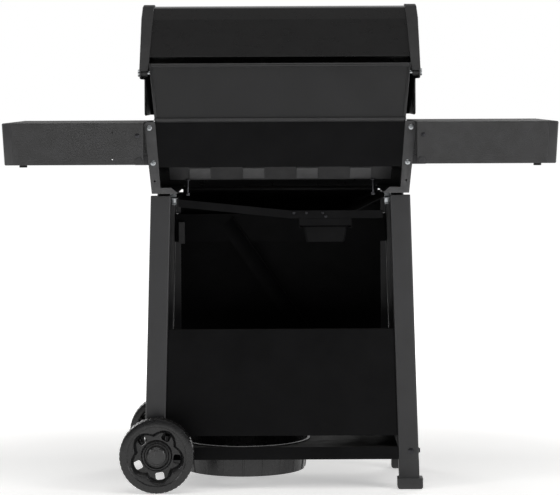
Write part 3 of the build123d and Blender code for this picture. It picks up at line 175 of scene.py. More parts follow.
# ---- Finishes ----
def node(tree, kind, inputs=None, **settings):
    """Adds a node; inputs gives each socket, by name or number, a value or an output to link."""
    made = tree.nodes.new(kind)
    for name, value in settings.items():
        setattr(made, name, value)
    for key, value in (inputs or {}).items():
        if isinstance(value, bpy.types.NodeSocket):
            tree.links.new(value, made.inputs[key])
        else:
            made.inputs[key].default_value = value
    return made


def per_metre(size):
    """Pattern scale for a feature of this many millimetres."""
    return 1000.0 / size


def blank(name, **inputs):
    """A material, its tree, its Principled shader and the piece's own coordinates."""
    material = bpy.data.materials.new(name)
    material.use_nodes = True
    tree = material.node_tree
    tree.nodes.clear()
    sockets = {key.replace("_", " "): value for key, value in inputs.items()}
    shader = node(tree, "ShaderNodeBsdfPrincipled", sockets)
    node(tree, "ShaderNodeOutputMaterial", {"Surface": shader.outputs[0]})
    place = node(tree, "ShaderNodeTexCoord").outputs["Object"]
    return material, tree, shader, place


def edge_wear(tree, radius):
    """Rounded normals, and a mask of the edges, about a radius in mm wide, that would be rubbed."""
    rounded = node(tree, "ShaderNodeBevel", {"Radius": radius * MM}, samples=6)
    flat = node(tree, "ShaderNodeNewGeometry").outputs["Normal"]
    inputs = {0: rounded.outputs[0], 1: flat}
    turned = node(tree, "ShaderNodeVectorMath", inputs, operation="DOT_PRODUCT").outputs["Value"]
    mask = {"Value": turned, "From Min": 0.995, "From Max": 0.80, "To Min": 0.0, "To Max": 1.0}
    return rounded.outputs[0], node(tree, "ShaderNodeMapRange", mask).outputs[0]


def dress(tree, shader, place, dark, light, rough, relief, edge, mottle=70.0, dust=0.05, radius=1.2):
    """Colour drift, rubbed edges, settled dust, uneven gloss and relief, put on a shader.

    rough is the smoothest and roughest value. relief is a height output and its depth in mm.
    edge is the colour of rubbed edges and how strongly it shows.
    """
    normal, rubbed = edge_wear(tree, radius)
    inputs = {"Vector": place, "Scale": per_metre(mottle), "Detail": 4.0, "Roughness": 0.6}
    drift = node(tree, "ShaderNodeTexNoise", inputs).outputs["Fac"]
    drift = node(tree, "ShaderNodeMapRange", {"Value": drift, "From Min": 0.32, "From Max": 0.68})
    base = node(tree, "ShaderNodeMix", {0: drift.outputs[0], 6: dark, 7: light}, data_type="RGBA")
    inputs = {"Vector": place, "Scale": per_metre(9.0), "Detail": 3.0}
    patchy = node(tree, "ShaderNodeTexNoise", inputs).outputs["Fac"]
    worn = node(tree, "ShaderNodeMath", {0: rubbed, 1: patchy}, operation="MULTIPLY").outputs[0]
    worn = node(tree, "ShaderNodeMath", {0: worn, 1: edge[1]}, operation="MULTIPLY").outputs[0]
    base = node(tree, "ShaderNodeMix", {0: worn, 6: base.outputs[2], 7: edge[0]}, data_type="RGBA")
    up = node(tree, "ShaderNodeNewGeometry").outputs["Normal"]
    up = node(tree, "ShaderNodeSeparateXYZ", {0: up}).outputs["Z"]
    up = node(tree, "ShaderNodeMapRange", {"Value": up, "From Min": 0.5, "To Max": dust})
    settled = node(tree, "ShaderNodeMath", {0: up.outputs[0], 1: patchy}, operation="MULTIPLY")
    inputs = {0: settled.outputs[0], 6: base.outputs[2], 7: tint("9a958c")}
    base = node(tree, "ShaderNodeMix", inputs, data_type="RGBA")
    tree.links.new(base.outputs[2], shader.inputs["Base Color"])
    inputs = {"Vector": place, "Scale": per_metre(31.0), "Detail": 5.0, "Roughness": 0.65}
    gloss = node(tree, "ShaderNodeTexNoise", inputs).outputs["Fac"]
    inputs = {"Value": gloss, "From Min": 0.3, "From Max": 0.7, "To Min": rough[0], "To Max": rough[1]}
    gloss = node(tree, "ShaderNodeMapRange", inputs)
    tree.links.new(gloss.outputs[0], shader.inputs["Roughness"])
    inputs = {"Height": relief[0], "Distance": relief[1] * MM, "Strength": 1.0, "Normal": normal}
    bump = node(tree, "ShaderNodeBump", inputs)
    tree.links.new(bump.outputs[0], shader.inputs["Normal"])


def coated(name, grain, colours, rough, depth, edge, mottle, dust=0.05, radius=1.2, **inputs):
    """A dressed finish whose relief is noise; grain is its size in mm, its detail and its roughness."""
    material, tree, shader, place = blank(name, **inputs)
    size, detail, roughness = grain
    height = {"Vector": place, "Scale": per_metre(size), "Detail": detail, "Roughness": roughness}
    height = node(tree, "ShaderNodeTexNoise", height).outputs["Fac"]
    dress(tree, shader, place, *colours, rough, (height, depth), edge, mottle, dust, radius)
    return material


def baked_enamel():
    """Porcelain enamel on steel: deep black, wet-looking, with a faint orange peel of 3 to 5 mm."""
    return coated(
        "baked_enamel", (5.0, 1.0, 0.5), (rgba("enamel"), tint("151516")), (0.26, 0.32), 0.008,
        (tint("3a3a3c"), 0.25), mottle=160.0, dust=0.03, radius=0.5,
        IOR=1.5, Coat_Weight=0.25, Coat_Roughness=0.12,
    )


def satin_paint():
    """Satin paint on pressed steel: soft, broad highlights over a faintly rolled sheet."""
    return coated(
        "satin_paint", (1.6, 2.0, 0.5), (rgba("hood"), tint("1a1a1b")), (0.38, 0.50), 0.02,
        (tint("606062"), 0.45), mottle=120.0, radius=1.5, IOR=1.48,
    )


def frame_powder_coat():
    """Polyester powder coat on tube: fine orange peel that breaks the light into a soft sheen."""
    return coated(
        "frame_powder_coat", (2.4, 3.0, 0.55), (rgba("frame"), tint("2b2b2d")), (0.34, 0.46), 0.07,
        (tint("6a6a6c"), 0.6), mottle=90.0, radius=1.6, IOR=1.5,
    )


def bracket_coat_and_painted_highlight():
    """Coarser, greyer powder coat on the cradles: a dry, grainy face. On the brace's edge and the hopper's
    pads it is a painted highlight.
    """
    return coated(
        "bracket_coat_and_painted_highlight", (2.0, 4.0, 0.7), (tint("3a3a3b"), tint("454546")), (0.48, 0.60), 0.14,
        (tint("7c7c7d"), 0.6), mottle=26.0, radius=1.2, IOR=1.5,
    )


def cast_aluminium():
    """Sand-cast aluminium, satin coated: pebbled, with grain of 1 mm drawn at 1.8 mm to show."""
    return coated(
        "cast_aluminium", (1.8, 5.0, 0.7), (rgba("casting"), tint("29292a")), (0.46, 0.60), 0.2,
        (tint("656567"), 0.6), mottle=40.0, radius=2.0, IOR=1.5,
    )


def grained_powder_coat():
    """Leather-grain powder coat on the shelves: wrinkles about 1.5 mm wide, drawn at 3 mm to show."""
    material, tree, shader, place = blank("grained_powder_coat", IOR=1.5)
    bend = {"Vector": place, "Scale": per_metre(6.0), "Detail": 2.0}
    bend = node(tree, "ShaderNodeTexNoise", bend).outputs["Color"]
    bend = node(tree, "ShaderNodeVectorMath", {0: bend, "Scale": 3.0 * MM}, operation="SCALE")
    bent = node(tree, "ShaderNodeVectorMath", {0: place, 1: bend.outputs[0]}, operation="ADD")
    cell = {"Vector": bent.outputs[0], "Scale": per_metre(3.0)}
    cell = node(tree, "ShaderNodeTexVoronoi", cell, feature="SMOOTH_F1").outputs["Distance"]
    crease = {"Value": cell, "From Min": 0.1, "From Max": 0.75, "To Min": 1.0, "To Max": 0.0}
    crease = node(tree, "ShaderNodeMapRange", crease).outputs[0]
    dress(
        tree, shader, place, rgba("shelf"), tint("323233"), (0.42, 0.56), (crease, 0.34),
        (tint("6f6f70"), 0.4), mottle=34.0, dust=0.08, radius=1.6,
    )
    return material


def dry_black_paint_and_painted_shade():
    """Thin heat-proof black on hidden sheet: flat, faintly smoky, with fine dust. On the door's inside and
    the screws behind it, it is painted shade.
    """
    return coated(
        "dry_black_paint_and_painted_shade", (1.5, 3.0, 0.5), (tint("0b0b0c"), tint("101011")), (0.55, 0.70), 0.06,
        (tint("2c2c2e"), 0.3), mottle=60.0, radius=0.5, IOR=1.45, Specular_IOR_Level=0.1,
    )


def satin_black_sheet():
    """Vitreous enamel on the pressed dish that the bottle stands in: smoother, with a low sheen."""
    return coated(
        "satin_black_sheet", (5.0, 3.0, 0.5), (tint("1c1c1d"), tint("262627")), (0.22, 0.32), 0.05,
        (tint("6a6a6b"), 0.5), mottle=60.0, radius=1.0, IOR=1.5,
    )


def moulded_plastic():
    """Black polypropylene with a spark-eroded texture of about 0.6 mm, drawn at 1.2 mm to show."""
    return coated(
        "moulded_plastic", (1.2, 3.0, 0.5), (rgba("plastic"), tint("353536")), (0.42, 0.56), 0.05,
        (tint("5c5c5e"), 0.5), mottle=32.0, radius=1.0, IOR=1.49,
    )


def wheel_plastic():
    """Blow-moulded polyethylene of the wheels: waxy half-gloss with soft flow ripples."""
    return coated(
        "wheel_plastic", (5.0, 4.0, 0.5), (tint("131314"), tint("1c1c1d")), (0.20, 0.34), 0.10,
        (tint("5a5a5c"), 0.5), mottle=26.0, radius=1.2, IOR=1.53,
    )


def polished_plastic():
    """Gloss-moulded ABS on the hub caps and the button: a clean tight highlight."""
    return coated(
        "polished_plastic", (18.0, 2.0, 0.5), (tint("1d1d1e"), tint("242425")), (0.22, 0.34), 0.04,
        (tint("4a4a4c"), 0.4), mottle=24.0, radius=0.8, IOR=1.53, Coat_Weight=0.3, Coat_Roughness=0.08,
    )


def soft_rubber():
    """Moulded rubber: matt, slightly bloomed."""
    return coated(
        "soft_rubber", (1.0, 3.0, 0.5), (tint("161616"), tint("202020")), (0.70, 0.85), 0.06,
        (tint("2f2f2f"), 0.5), mottle=9.0, radius=1.0, IOR=1.52, Specular_IOR_Level=0.35,
    )


def metal_look(name, dark, light, rough, grain, depth, edge, mottle, **inputs):
    """A bare metal: grain is a height output built on the tree that is passed to it."""
    material, tree, shader, place = blank(name, Metallic=1.0, **inputs)
    height = grain(tree, place)
    dress(tree, shader, place, dark, light, rough, (height, depth), (edge, 0.5), mottle, 0.04, 0.8)
    return material


def zinc_plate():
    """Bright zinc plate on steel: cool grey with cloudy spangle patches of about 6 mm."""

    def spangle(tree, place):
        inputs = {"Vector": place, "Scale": per_metre(6.0)}
        return node(tree, "ShaderNodeTexVoronoi", inputs).outputs["Distance"]

    light = tint("c3c6c8")
    return metal_look("zinc_plate", tint("9da1a4"), light, (0.24, 0.42), spangle, 0.02, light, 7.0)


def dark_zinc():
    """Black zinc on bolts: a dark, slightly oily metal."""
    light = tint("4a4a4d")
    return coated(
        "dark_zinc", (1.5, 3.0, 0.5), (tint("2c2c2e"), light), (0.30, 0.45), 0.02,
        (light, 0.5), mottle=9.0, dust=0.04, radius=0.8, Metallic=1.0,
    )


def brushed_steel():
    """Stainless steel brushed along its length: long scratches about 0.5 mm apart, drawn at 1 mm."""

    def scratches(tree, place):
        along = node(tree, "ShaderNodeMapping", {"Vector": place, "Scale": (0.03, 1.0, 1.0)})
        inputs = {"Vector": along.outputs[0], "Scale": per_metre(1.0), "Detail": 4.0}
        return node(tree, "ShaderNodeTexNoise", inputs).outputs["Fac"]

    light = tint("cfcdc9")
    return metal_look("brushed_steel", tint("b4b2ae"), light, (0.22, 0.36), scratches, 0.02, light, 45.0)


def heated_steel():
    """Stainless steel that has been hot: straw and brown heat tint drifting over grey."""
    light = tint("a79f90")
    return coated(
        "heated_steel", (3.0, 5.0, 0.5), (tint("77695a"), light), (0.32, 0.52), 0.05,
        (light, 0.5), mottle=55.0, dust=0.04, radius=0.8, Metallic=1.0,
    )


def cast_iron_enamel():
    """Matt porcelain enamel on cast iron grates: black, with grain about 1 mm, drawn at 2 mm."""
    return coated(
        "cast_iron_enamel", (2.0, 5.0, 0.7), (tint("141414"), tint("201f1e")), (0.38, 0.58), 0.22,
        (tint("4b4643"), 0.6), mottle=18.0, radius=1.6, IOR=1.5,
    )


def turned_brass():
    """Machined brass fitting: warm yellow with fine turning marks 0.4 mm apart, drawn at 0.8 mm."""

    def rings(tree, place):
        inputs = {"Vector": place, "Scale": per_metre(0.8) / math.tau, "Distortion": 0.4}
        return node(tree, "ShaderNodeTexWave", inputs, bands_direction="X").outputs["Fac"]

    light = tint("d9b673")
    return metal_look("turned_brass", tint("b08c4c"), light, (0.24, 0.36), rings, 0.02, light, 12.0)


def chrome_plate():
    """Chrome on the gauge's rim: near-mirror, with faint polishing haze."""
    light = tint("e2e3e4")
    return coated(
        "chrome_plate", (7.0, 2.0, 0.5), (tint("cfd0d2"), light), (0.07, 0.14), 0.01,
        (light, 0.5), mottle=30.0, dust=0.04, radius=0.8, Metallic=1.0,
    )


def printed(name, dark, light):
    """Screen print: an even, slightly raised ink with tiny breaks in it."""
    grain, edge = (0.7, 2.0, 0.5), (light, 0.1)
    return coated(name, grain, (dark, light), (0.45, 0.55), 0.01, edge, 5.0, 0.0, 0.2, IOR=1.5)


def white_print():
    """White marks on the knobs and the control panel."""
    return printed("white_print", tint("c9c9c6"), tint("dededb"))


def dial_face():
    """Matt white lacquer behind the gauge's glass."""
    return printed("dial_face", tint("dcdad2"), tint("e8e6df"))


def dial_ink():
    """Black ink of the gauge's numbers and ticks."""
    return printed("dial_ink", tint("141414"), tint("1c1c1c"))


def needle_lacquer():
    """Red lacquer on the gauge's needle."""
    return printed("needle_lacquer", tint("a8231b"), tint("bf3326"))


def gauge_glass():
    """Clear lens over the dial: thin, with the faintest waviness."""
    material, tree, shader, place = blank(
        "gauge_glass", IOR=1.45, Transmission_Weight=1.0, Roughness=0.02, Base_Color=tint("ffffff")
    )
    wave = {"Vector": place, "Scale": per_metre(25.0), "Detail": 1.0}
    wave = node(tree, "ShaderNodeTexNoise", wave).outputs["Fac"]
    bump = node(tree, "ShaderNodeBump", {"Height": wave, "Distance": 0.02 * MM, "Strength": 0.4})
    tree.links.new(bump.outputs[0], shader.inputs["Normal"])
    return material


FINISHES = {}


def finish(maker):
    """The material that a maker function gives, made once."""
    if maker.__name__ not in FINISHES:
        FINISHES[maker.__name__] = maker()
    return FINISHES[maker.__name__]


def repaint(nodes, maker):
    """Gives carried-over nodes a better material, slot by slot."""
    for name in nodes:
        for slot in frame["nodes"][name].material_slots:
            slot.material = finish(maker)


# ---- Shaping ----
def put(name, bm, body, makers, node_names=(), smooth=32):
    """Turns a bmesh in millimetres into a piece that rides on a body and stands for nodes."""
    bmesh.ops.scale(bm, vec=(MM, MM, MM), verts=bm.verts)
    mesh = bpy.data.meshes.new(name)
    bm.to_mesh(mesh)
    bm.free()
    for maker in makers:
        mesh.materials.append(finish(maker))
    mesh.shade_smooth()
    mesh.set_sharp_from_angle(angle=math.radians(smooth))
    piece = bpy.data.objects.new(name, mesh)
    bpy.context.scene.collection.objects.link(piece)
    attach(piece, body)
    if node_names:
        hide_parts(*node_names)
    return piece


def paint_faces(faces, index):
    for face in faces:
        face.material_index = index


def bevel(bm, edges, width, segments):
    """Rounds edges by a width, in so many steps."""
    bmesh.ops.bevel(
        bm, geom=edges, offset=width, offset_type="OFFSET", segments=segments, profile=0.5,
        affect="EDGES", clamp_overlap=True, material=-1,
    )


def edges_of(verts):
    return {edge for vert in verts for edge in vert.link_edges}


def faces_of(verts):
    return {face for vert in verts for face in vert.link_faces}


def span(verts):
    """Lowest and highest corner of some vertices."""
    low = Vector([min(v.co[i] for v in verts) for i in range(3)])
    return low, Vector([max(v.co[i] for v in verts) for i in range(3)])


def join(whole, part):
    """Adds one bmesh to another; the part is used up."""
    mesh = bpy.data.meshes.new("part")
    part.to_mesh(mesh)
    part.free()
    whole.from_mesh(mesh)
    bpy.data.meshes.remove(mesh)


def soften(bm, width, angle=30.0, segments=2):
    """Rounds every edge sharper than an angle."""
    limit = math.radians(angle)
    sharp = [e for e in bm.edges if len(e.link_faces) == 2 and e.calc_face_angle() > limit]
    bevel(bm, sharp, width, segments)


def slab(bm, low, high, place=None):
    """A box between two corners."""
    low, high = Vector(low), Vector(high)
    matrix = Matrix.Translation((low + high) / 2) @ Matrix.Diagonal((*(high - low), 1.0))
    return bmesh.ops.create_cube(bm, size=1.0, matrix=(place or Matrix()) @ matrix)["verts"]


def post(bm, radius, low, high, place=None, segments=32, top_radius=None):
    """A cylinder or cone along Z."""
    matrix = (place or Matrix()) @ Matrix.Translation((0, 0, (low + high) / 2))
    made = bmesh.ops.create_cone(
        bm, cap_ends=True, segments=segments, radius1=radius,
        radius2=radius if top_radius is None else top_radius, depth=high - low, matrix=matrix,
    )
    return made["verts"]


def turned(bm, profile, steps=64, place=None):
    """A closed outline of (radius, height) points, spun about Z."""
    verts = [bm.verts.new((radius, 0, height)) for radius, height in profile]
    edges = [bm.edges.new(pair) for pair in zip(verts, verts[1:] + verts[:1])]
    old_faces = set(bm.faces)
    bmesh.ops.spin(
        bm, geom=verts + edges, cent=(0, 0, 0), axis=(0, 0, 1), dvec=(0, 0, 0), angle=ROUND,
        steps=steps, use_merge=True, use_normal_flip=False, use_duplicate=False,
    )
    faces = [f for f in bm.faces if f not in old_faces]
    verts = list({v for f in faces for v in f.verts})
    bmesh.ops.remove_doubles(bm, verts=verts, dist=0.001)
    faces = [f for f in bm.faces if f not in old_faces]
    bmesh.ops.recalc_face_normals(bm, faces=faces)
    verts = list({v for f in faces for v in f.verts})
    if place:
        bmesh.ops.transform(bm, matrix=place, verts=verts)
    return verts


def cut(bm, cutter):
    """The shape less a cutter; both are bmeshes, and both are used up."""
    made = []
    for part in (bm, cutter):
        mesh = bpy.data.meshes.new("cutting")
        part.to_mesh(mesh)
        part.free()
        made.append(bpy.data.objects.new("cutting", mesh))
        bpy.context.scene.collection.objects.link(made[-1])
    shape, tool = made
    modifier = shape.modifiers.new("cut", "BOOLEAN")
    modifier.operation, modifier.object, modifier.solver = "DIFFERENCE", tool, "EXACT"
    bpy.context.view_layer.update()
    result = bmesh.new()
    result.from_object(shape, bpy.context.evaluated_depsgraph_get())
    for piece in made:
        mesh = piece.data
        bpy.data.objects.remove(piece)
        bpy.data.meshes.remove(mesh)
    return result


def cad_copy(name):
    """A node's mesh in millimetres, its loose triangles merged back into whole faces."""
    bm = bmesh.new()
    bm.from_mesh(frame["nodes"][name].data)
    bmesh.ops.scale(bm, vec=(1 / MM,) * 3, verts=bm.verts)
    bmesh.ops.remove_doubles(bm, verts=bm.verts, dist=0.01)
    bmesh.ops.dissolve_limit(bm, angle_limit=math.radians(0.6), verts=bm.verts, edges=bm.edges)
    return bm


def rounded_copy(name, new_name, width, body, maker, angle=40.0):
    """A piece that stands for a node, with the same shape and softened edges."""
    whole, part = bmesh.new(), cad_copy(name)
    soften(part, width, angle)
    join(whole, part)
    return put(new_name, whole, body, (maker,), (name,))


# ---- Cart ----
def leg_tube(node_name):
    """A leaning rectangular tube with rounded corners, between the node's own ends."""
    corner = bpy.context.scene.grill_sizes.leg_corner / MM
    source = cad_copy(node_name)
    low, high = extent(node_name)
    ends = {}
    for level in (low.z, high.z):
        xs = [v.co.x for v in source.verts if abs(v.co.z - level) < 1.0]
        ends[level] = (min(xs), max(xs))
    source.free()
    bm = bmesh.new()
    slab(bm, low, high)
    for vert in bm.verts:
        level = low.z if vert.co.z < (low.z + high.z) / 2 else high.z
        left = vert.co.x < (low.x + high.x) / 2
        vert.co.x = ends[level][0 if left else 1]
    long_edges = [e for e in bm.edges if e.calc_length() > (high.z - low.z) * 0.9]
    bevel(bm, long_edges, corner, 4)
    return bm


def make_legs():
    for end in ("front", "rear"):
        for side in ("left", "right"):
            name = f"leg_{end}_{side}"
            put(f"tube_{end}_{side}", leg_tube(name), "cart", (frame_powder_coat,), (name,))


def make_feet():
    bm = cad_copy("feet")
    soften(bm, 1.6, 40.0, 3)
    low, high = extent("feet")
    for y in (low.y, high.y - 46):  # grip ribs round the pad, so that the moulding isn't plain
        for z in (9.0, 14.0, 19.0):
            ribs = slab(bm, (low.x + 0.2, y + 6, z), (low.x + 64.8, y + 40, z + 1.6))
            about = Matrix.Translation((-low.x - 32.5, 0, 0))
            bmesh.ops.scale(bm, vec=(1.004, 1.0, 1.0), verts=ribs, space=about)
    put("moulded_feet", bm, "cart", (moulded_plastic,), ("feet",))


def screw_shape(radius, height):
    """A pan head with a cross recess, facing +Z, its seat at zero."""
    bm = bmesh.new()
    crown = [(0, 0), (radius, 0), (radius, height * 0.35), (radius * 0.86, height * 0.75)]
    turned(bm, crown + [(radius * 0.5, height * 0.95), (0, height)], 28)
    arm, reach, deep = radius * 0.13, radius * 0.55, height * 0.35
    for half_x, half_y in ((reach, arm), (arm, reach)):
        tool = bmesh.new()
        slab(tool, (-half_x, -half_y, deep), (half_x, half_y, height + 1))
        bm = cut(bm, tool)
    return bm


def bolt_shape(radius, height):
    """A flanged hexagon head with a chamfered top, facing +Z, its seat at zero."""
    bm = bmesh.new()
    flange = [(0, 0), (radius, 0), (radius, height * 0.2), (radius * 0.85, height * 0.32)]
    turned(bm, flange + [(0, height * 0.32)], 30)
    head = post(bm, radius * 0.8, height * 0.25, height, segments=6)
    tops = [e for e in edges_of(head) if all(v.co.z > height * 0.9 for v in e.verts)]
    bevel(bm, tops, radius * 0.1, 2)
    return bm


def scatter(shape, places):
    """One bmesh with a copy of a shape at each matrix; the shape is used up."""
    mesh = bpy.data.meshes.new("shape")
    shape.to_mesh(mesh)
    shape.free()
    whole = bmesh.new()
    for place in places:
        before = set(whole.verts)
        whole.from_mesh(mesh)
        bmesh.ops.transform(whole, matrix=place, verts=[v for v in whole.verts if v not in before])
    bpy.data.meshes.remove(mesh)
    return whole


def islands(bm):
    """The separate shells of a bmesh, as lists of vertices."""
    left, found = set(bm.verts), []
    while left:
        group, edge = set(), [left.pop()]
        while edge:
            vert = edge.pop()
            group.add(vert)
            near = [e.other_vert(vert) for e in vert.link_edges]
            edge += [v for v in near if v in left]
            left.difference_update(near)
        found.append(list(group))
    return found


def make_screws():
    """Cross-head screws in the cradles and hexagon bolts in the feet, where the nodes' heads are."""
    bm = cad_copy("frame_screws")
    pans, hexes = [], []
    for group in islands(bm):
        low, high = span(group)
        size, centre = high - low, (low + high) / 2
        thin = min(range(3), key=lambda i: size[i])
        axis = Vector((0, 0, 0))
        outward = -1 if thin == 0 or centre.y < middle("cradles").y else 1
        axis[thin] = outward
        seat = centre.copy()
        seat[thin] = low[thin] if outward > 0 else high[thin]
        spin = Matrix.Rotation(centre.x * 0.7 + centre.z, 4, "Z")
        (pans if centre.z > 400 else hexes).append(facing(seat, axis) @ spin)
    bm.free()
    screws = scatter(screw_shape(7.0, 3.0), pans)
    put("cradle_screws", screws, "cart", (zinc_plate,), ("frame_screws",))
    put("foot_bolts", scatter(bolt_shape(8.0, 4.0), hexes), "cart", (dark_zinc,), ())


def make_sheets():
    """Folded and cut sheet of the cart, with edges as a press leaves them, and a painted highlight along
    one long edge of the brace.
    """
    rounded_copy("cradles", "cradle_plates", 0.7, "cart", bracket_coat_and_painted_highlight)
    rounded_copy("bottom_shelf", "cabinet_floor", 0.6, "cart", dry_black_paint_and_painted_shade)
    rounded_copy("rear_panel", "lower_rear_panel", 0.6, "cart", dry_black_paint_and_painted_shade)
    bm = cad_copy("cross_brace")
    low, high = extent("cross_brace")
    along = Vector((high.x - low.x, 0, high.z - low.z)).normalized()
    highlight_side = Vector((-along.z, 0, along.x))
    # painted highlight: the faces along one long edge of the brace get the lighter bracket coat, standing
    # in for light catching that edge
    paint_faces([f for f in bm.faces if f.normal.dot(highlight_side) > 0.8], 1)
    makers = (dry_black_paint_and_painted_shade, bracket_coat_and_painted_highlight)
    put("diagonal_brace", bm, "cart", makers, ("cross_brace",))


# ---- Wheels ----
def scallop(angle, windows, inner, outer):
    """Radius of the recess at an angle: out round each window, in between them."""
    near = min(abs((angle - w + math.pi) % ROUND - math.pi) for w in windows)
    share = 0.5 + 0.5 * math.cos(math.pi * min(1.0, near / (math.pi / len(windows))))
    return inner + (outer - inner) * share**0.6


def wheel_shape(radius, half, windows, notches, ribs, lobe):
    """A moulded wheel about Z, its face at +half: tread, collar, web with windows, hub and ribs."""
    dish, collar_top, web = radius * 0.79, half - 2.0, half - 15.0
    body = bmesh.new()
    outline = [
        (6.1, -half + 2), (18, -half), (20, -half + 2), (22, 1.0), (dish - 6, -3.0),
        (dish - 1, -half + 4),
        (dish + 3, -half), (radius - 5, -half), (radius - 1.4, -half + 1.6), (radius, -half + 5),
        (radius, half - 5), (radius - 1.4, half - 1.6), (radius - 5, half), (dish + 2, half),
        (dish, half - 1.2), (dish - 0.6, web), (40, web), (36.0, web + 6.5), (34.0, web + 7.0),
        (31.0, web + 6.0), (30.0, web + 3.0), (26.5, web + 3.0), (25.0, half - 1.4), (22, half),
        (6.1, half),
    ]
    turned(body, outline, notches * 4)
    for vert in body.verts:  # every fourth step of the tread is a notch, deepest at the shoulders
        reach = vert.co.xy.length
        if reach > radius - 0.5 and abs(vert.co.z) > half - 6:
            step = round(math.atan2(vert.co.y, vert.co.x) / ROUND * notches * 4)
            if step % 4 == 0:
                vert.co.xy *= (reach - 2.6) / reach
    tool = bmesh.new()
    for angle in windows:
        place = Matrix.Rotation(angle, 4, "Z") @ Matrix.Translation((52.5, 0, 0))
        before = set(tool.verts)
        slab(tool, (-9.6, -11.2, -half - 5), (10.4, 11.2, half + 5), place)
        fresh = [v for v in tool.verts if v not in before]
        uprights = [e for e in edges_of(fresh) if e.calc_length() > half * 2]
        bevel(tool, uprights, 5.4, 6)
    body = cut(body, tool)
    count = 160
    rings = []
    outer, foot = dish - 0.3, web - 0.5
    for level, ring_radius in ((collar_top, None), (collar_top, outer), (foot, outer), (foot, None)):
        made = bmesh.ops.create_circle(body, cap_ends=False, segments=count, radius=dish)["verts"]
        for vert in made:
            angle = math.atan2(vert.co.y, vert.co.x)
            reach = ring_radius or scallop(angle, windows, 57.0, 57.0 + lobe)
            if ring_radius is None and level < collar_top:
                reach -= 9.0
            vert.co = Vector((math.cos(angle) * reach, math.sin(angle) * reach, level))
        rings.append(made)
    shell = []
    for first, second in zip(rings, rings[1:] + rings[:1]):
        pair = edges_of(first + second)
        edges = [e for e in pair if set(e.verts) <= set(first) or set(e.verts) <= set(second)]
        shell += bmesh.ops.bridge_loops(body, edges=edges)["faces"]
    bmesh.ops.recalc_face_normals(body, faces=shell)
    rims = [e for e in edges_of(rings[0]) if set(e.verts) <= set(rings[0])]
    bevel(body, rims, 1.8, 3)
    for i in range(ribs):
        place = Matrix.Rotation(windows[0] + ROUND * (i + 0.5) / ribs, 4, "Z")
        slab(body, (19.5, -1.3, -half + 3.5), (dish - 0.5, 1.3, 0.5), place)
    return body


def make_wheel(end, out):
    """One wheel and its hub cap; out is the side that its face is on."""
    sizes = bpy.context.scene.grill_sizes
    low, high = extent(f"wheel_{end}")
    centre, radius, half = (low + high) / 2, (high.z - low.z) / 2, (high.y - low.y) / 2
    # The face is made towards +Z, then turned to +Y or -Y; angles run so that both faces match.
    spread = [math.radians(FIRST_WINDOW + 72 * i) for i in range(5)]
    windows = [-angle if out > 0 else angle for angle in spread]
    bm = wheel_shape(radius, half, windows, sizes.tread_notches, sizes.wheel_ribs, sizes.recess_lobe / MM)
    turn = Matrix.Rotation(math.radians(-90 * out), 4, "X")
    place = Matrix.Translation(centre) @ turn
    bmesh.ops.transform(bm, matrix=place, verts=bm.verts)
    body = f"{end}_wheel"
    put(f"{end}_wheel_moulding", bm, body, (wheel_plastic,), (f"wheel_{end}",), 28)
    cap_low, cap_high = extent(f"hub_cap_{end}")
    depth, cap_r = cap_high.y - cap_low.y, (cap_high.x - cap_low.x) / 2
    cap = bmesh.new()
    dome = [
        (0, 0), (cap_r - 0.6, 0), (cap_r, 0.6), (cap_r, depth * 0.45), (cap_r - 1.2, depth * 0.78),
        (cap_r - 3.4, depth * 0.92), (cap_r - 4.6, depth * 0.84), (cap_r - 6.0, depth * 0.86),
        (cap_r * 0.4, depth * 0.98), (0, depth),
    ]
    face = centre + Vector((0, out * half, 0))
    turned(cap, dome, 72, Matrix.Translation(face) @ turn)
    put(f"{end}_hub_cap_dome", cap, body, (polished_plastic,), (f"hub_cap_{end}",), 40)


# ---- Controls ----
def make_knobs():
    """Four moulded knobs: fluted skirt, raised finger bar and a white pointer."""
    flutes = bpy.context.scene.grill_sizes.knob_flutes
    for i in range(1, 5):
        name = f"knob_{i}"
        anchor, axis = joint(f"{name}_turn")
        place = facing(anchor, axis)
        inverse = place.inverted()
        bm = cad_copy(name)
        heights = [(inverse @ v.co).z for v in bm.verts]
        bm.free()
        base, top = min(heights), max(heights)
        bm = bmesh.new()
        skirt = [
            (4.2, base), (22.5, base), (23.8, base + 0.8), (23.8, base + 8), (22.4, base + 10.5),
            (19.0, base + 12.2), (4.2, base + 12.2),
        ]
        for vert in turned(bm, skirt, flutes * 4):
            reach = vert.co.xy.length
            if reach > 22 and vert.co.z > base + 0.5:
                step = round(math.atan2(vert.co.y, vert.co.x) / ROUND * flutes * 4) % 4
                vert.co.xy *= 1.0 - (0.0, 0.018, 0.034, 0.018)[step]
        grip = slab(bm, (-5, -22.5, base + 6), (5, 22.5, top))
        bevel(bm, list(edges_of(grip)), 2.6, 3)
        before = set(bm.faces)
        slab(bm, (-0.8, 5, top - 0.4), (0.8, 20, top + 0.05))
        paint_faces([f for f in bm.faces if f not in before], 1)
        bmesh.ops.transform(bm, matrix=place, verts=bm.verts)
        makers = (moulded_plastic, white_print)
        put(f"fluted_{name}", bm, f"burner_knob_{i}", makers, (name,))


def make_bezels():
    """Brushed rings behind the knobs, and the printed heat marks round them."""
    rings, marks = bmesh.new(), bmesh.new()
    for i in range(1, 5):
        anchor, axis = joint(f"knob_{i}_turn")
        place = facing(anchor, axis)
        face = [(31, 0.4), (31, 1.2), (29.4, 2.8), (27.5, 3.0), (25.8, 2.2), (5.2, 2.2)]
        turned(rings, [(5.2, 0), (30.6, 0)] + face, 72, place)
        for j in range(9):  # a mark grows with each step of heat
            spoke = place @ Matrix.Rotation(math.radians(-40 + 260 * j / 8), 4, "Z")
            slab(marks, (34, -0.5, -0.05), (35.5 + j * 0.55, 0.5, 0.15), spoke)
        post(marks, 1.6, -0.05, 0.15, place @ Matrix.Translation((0, 36.5, 0)), 20)
    put("bezel_rings", rings, "cart", (brushed_steel,), ("knob_bezels",))
    put("heat_marks", marks, "cart", (white_print,), ())


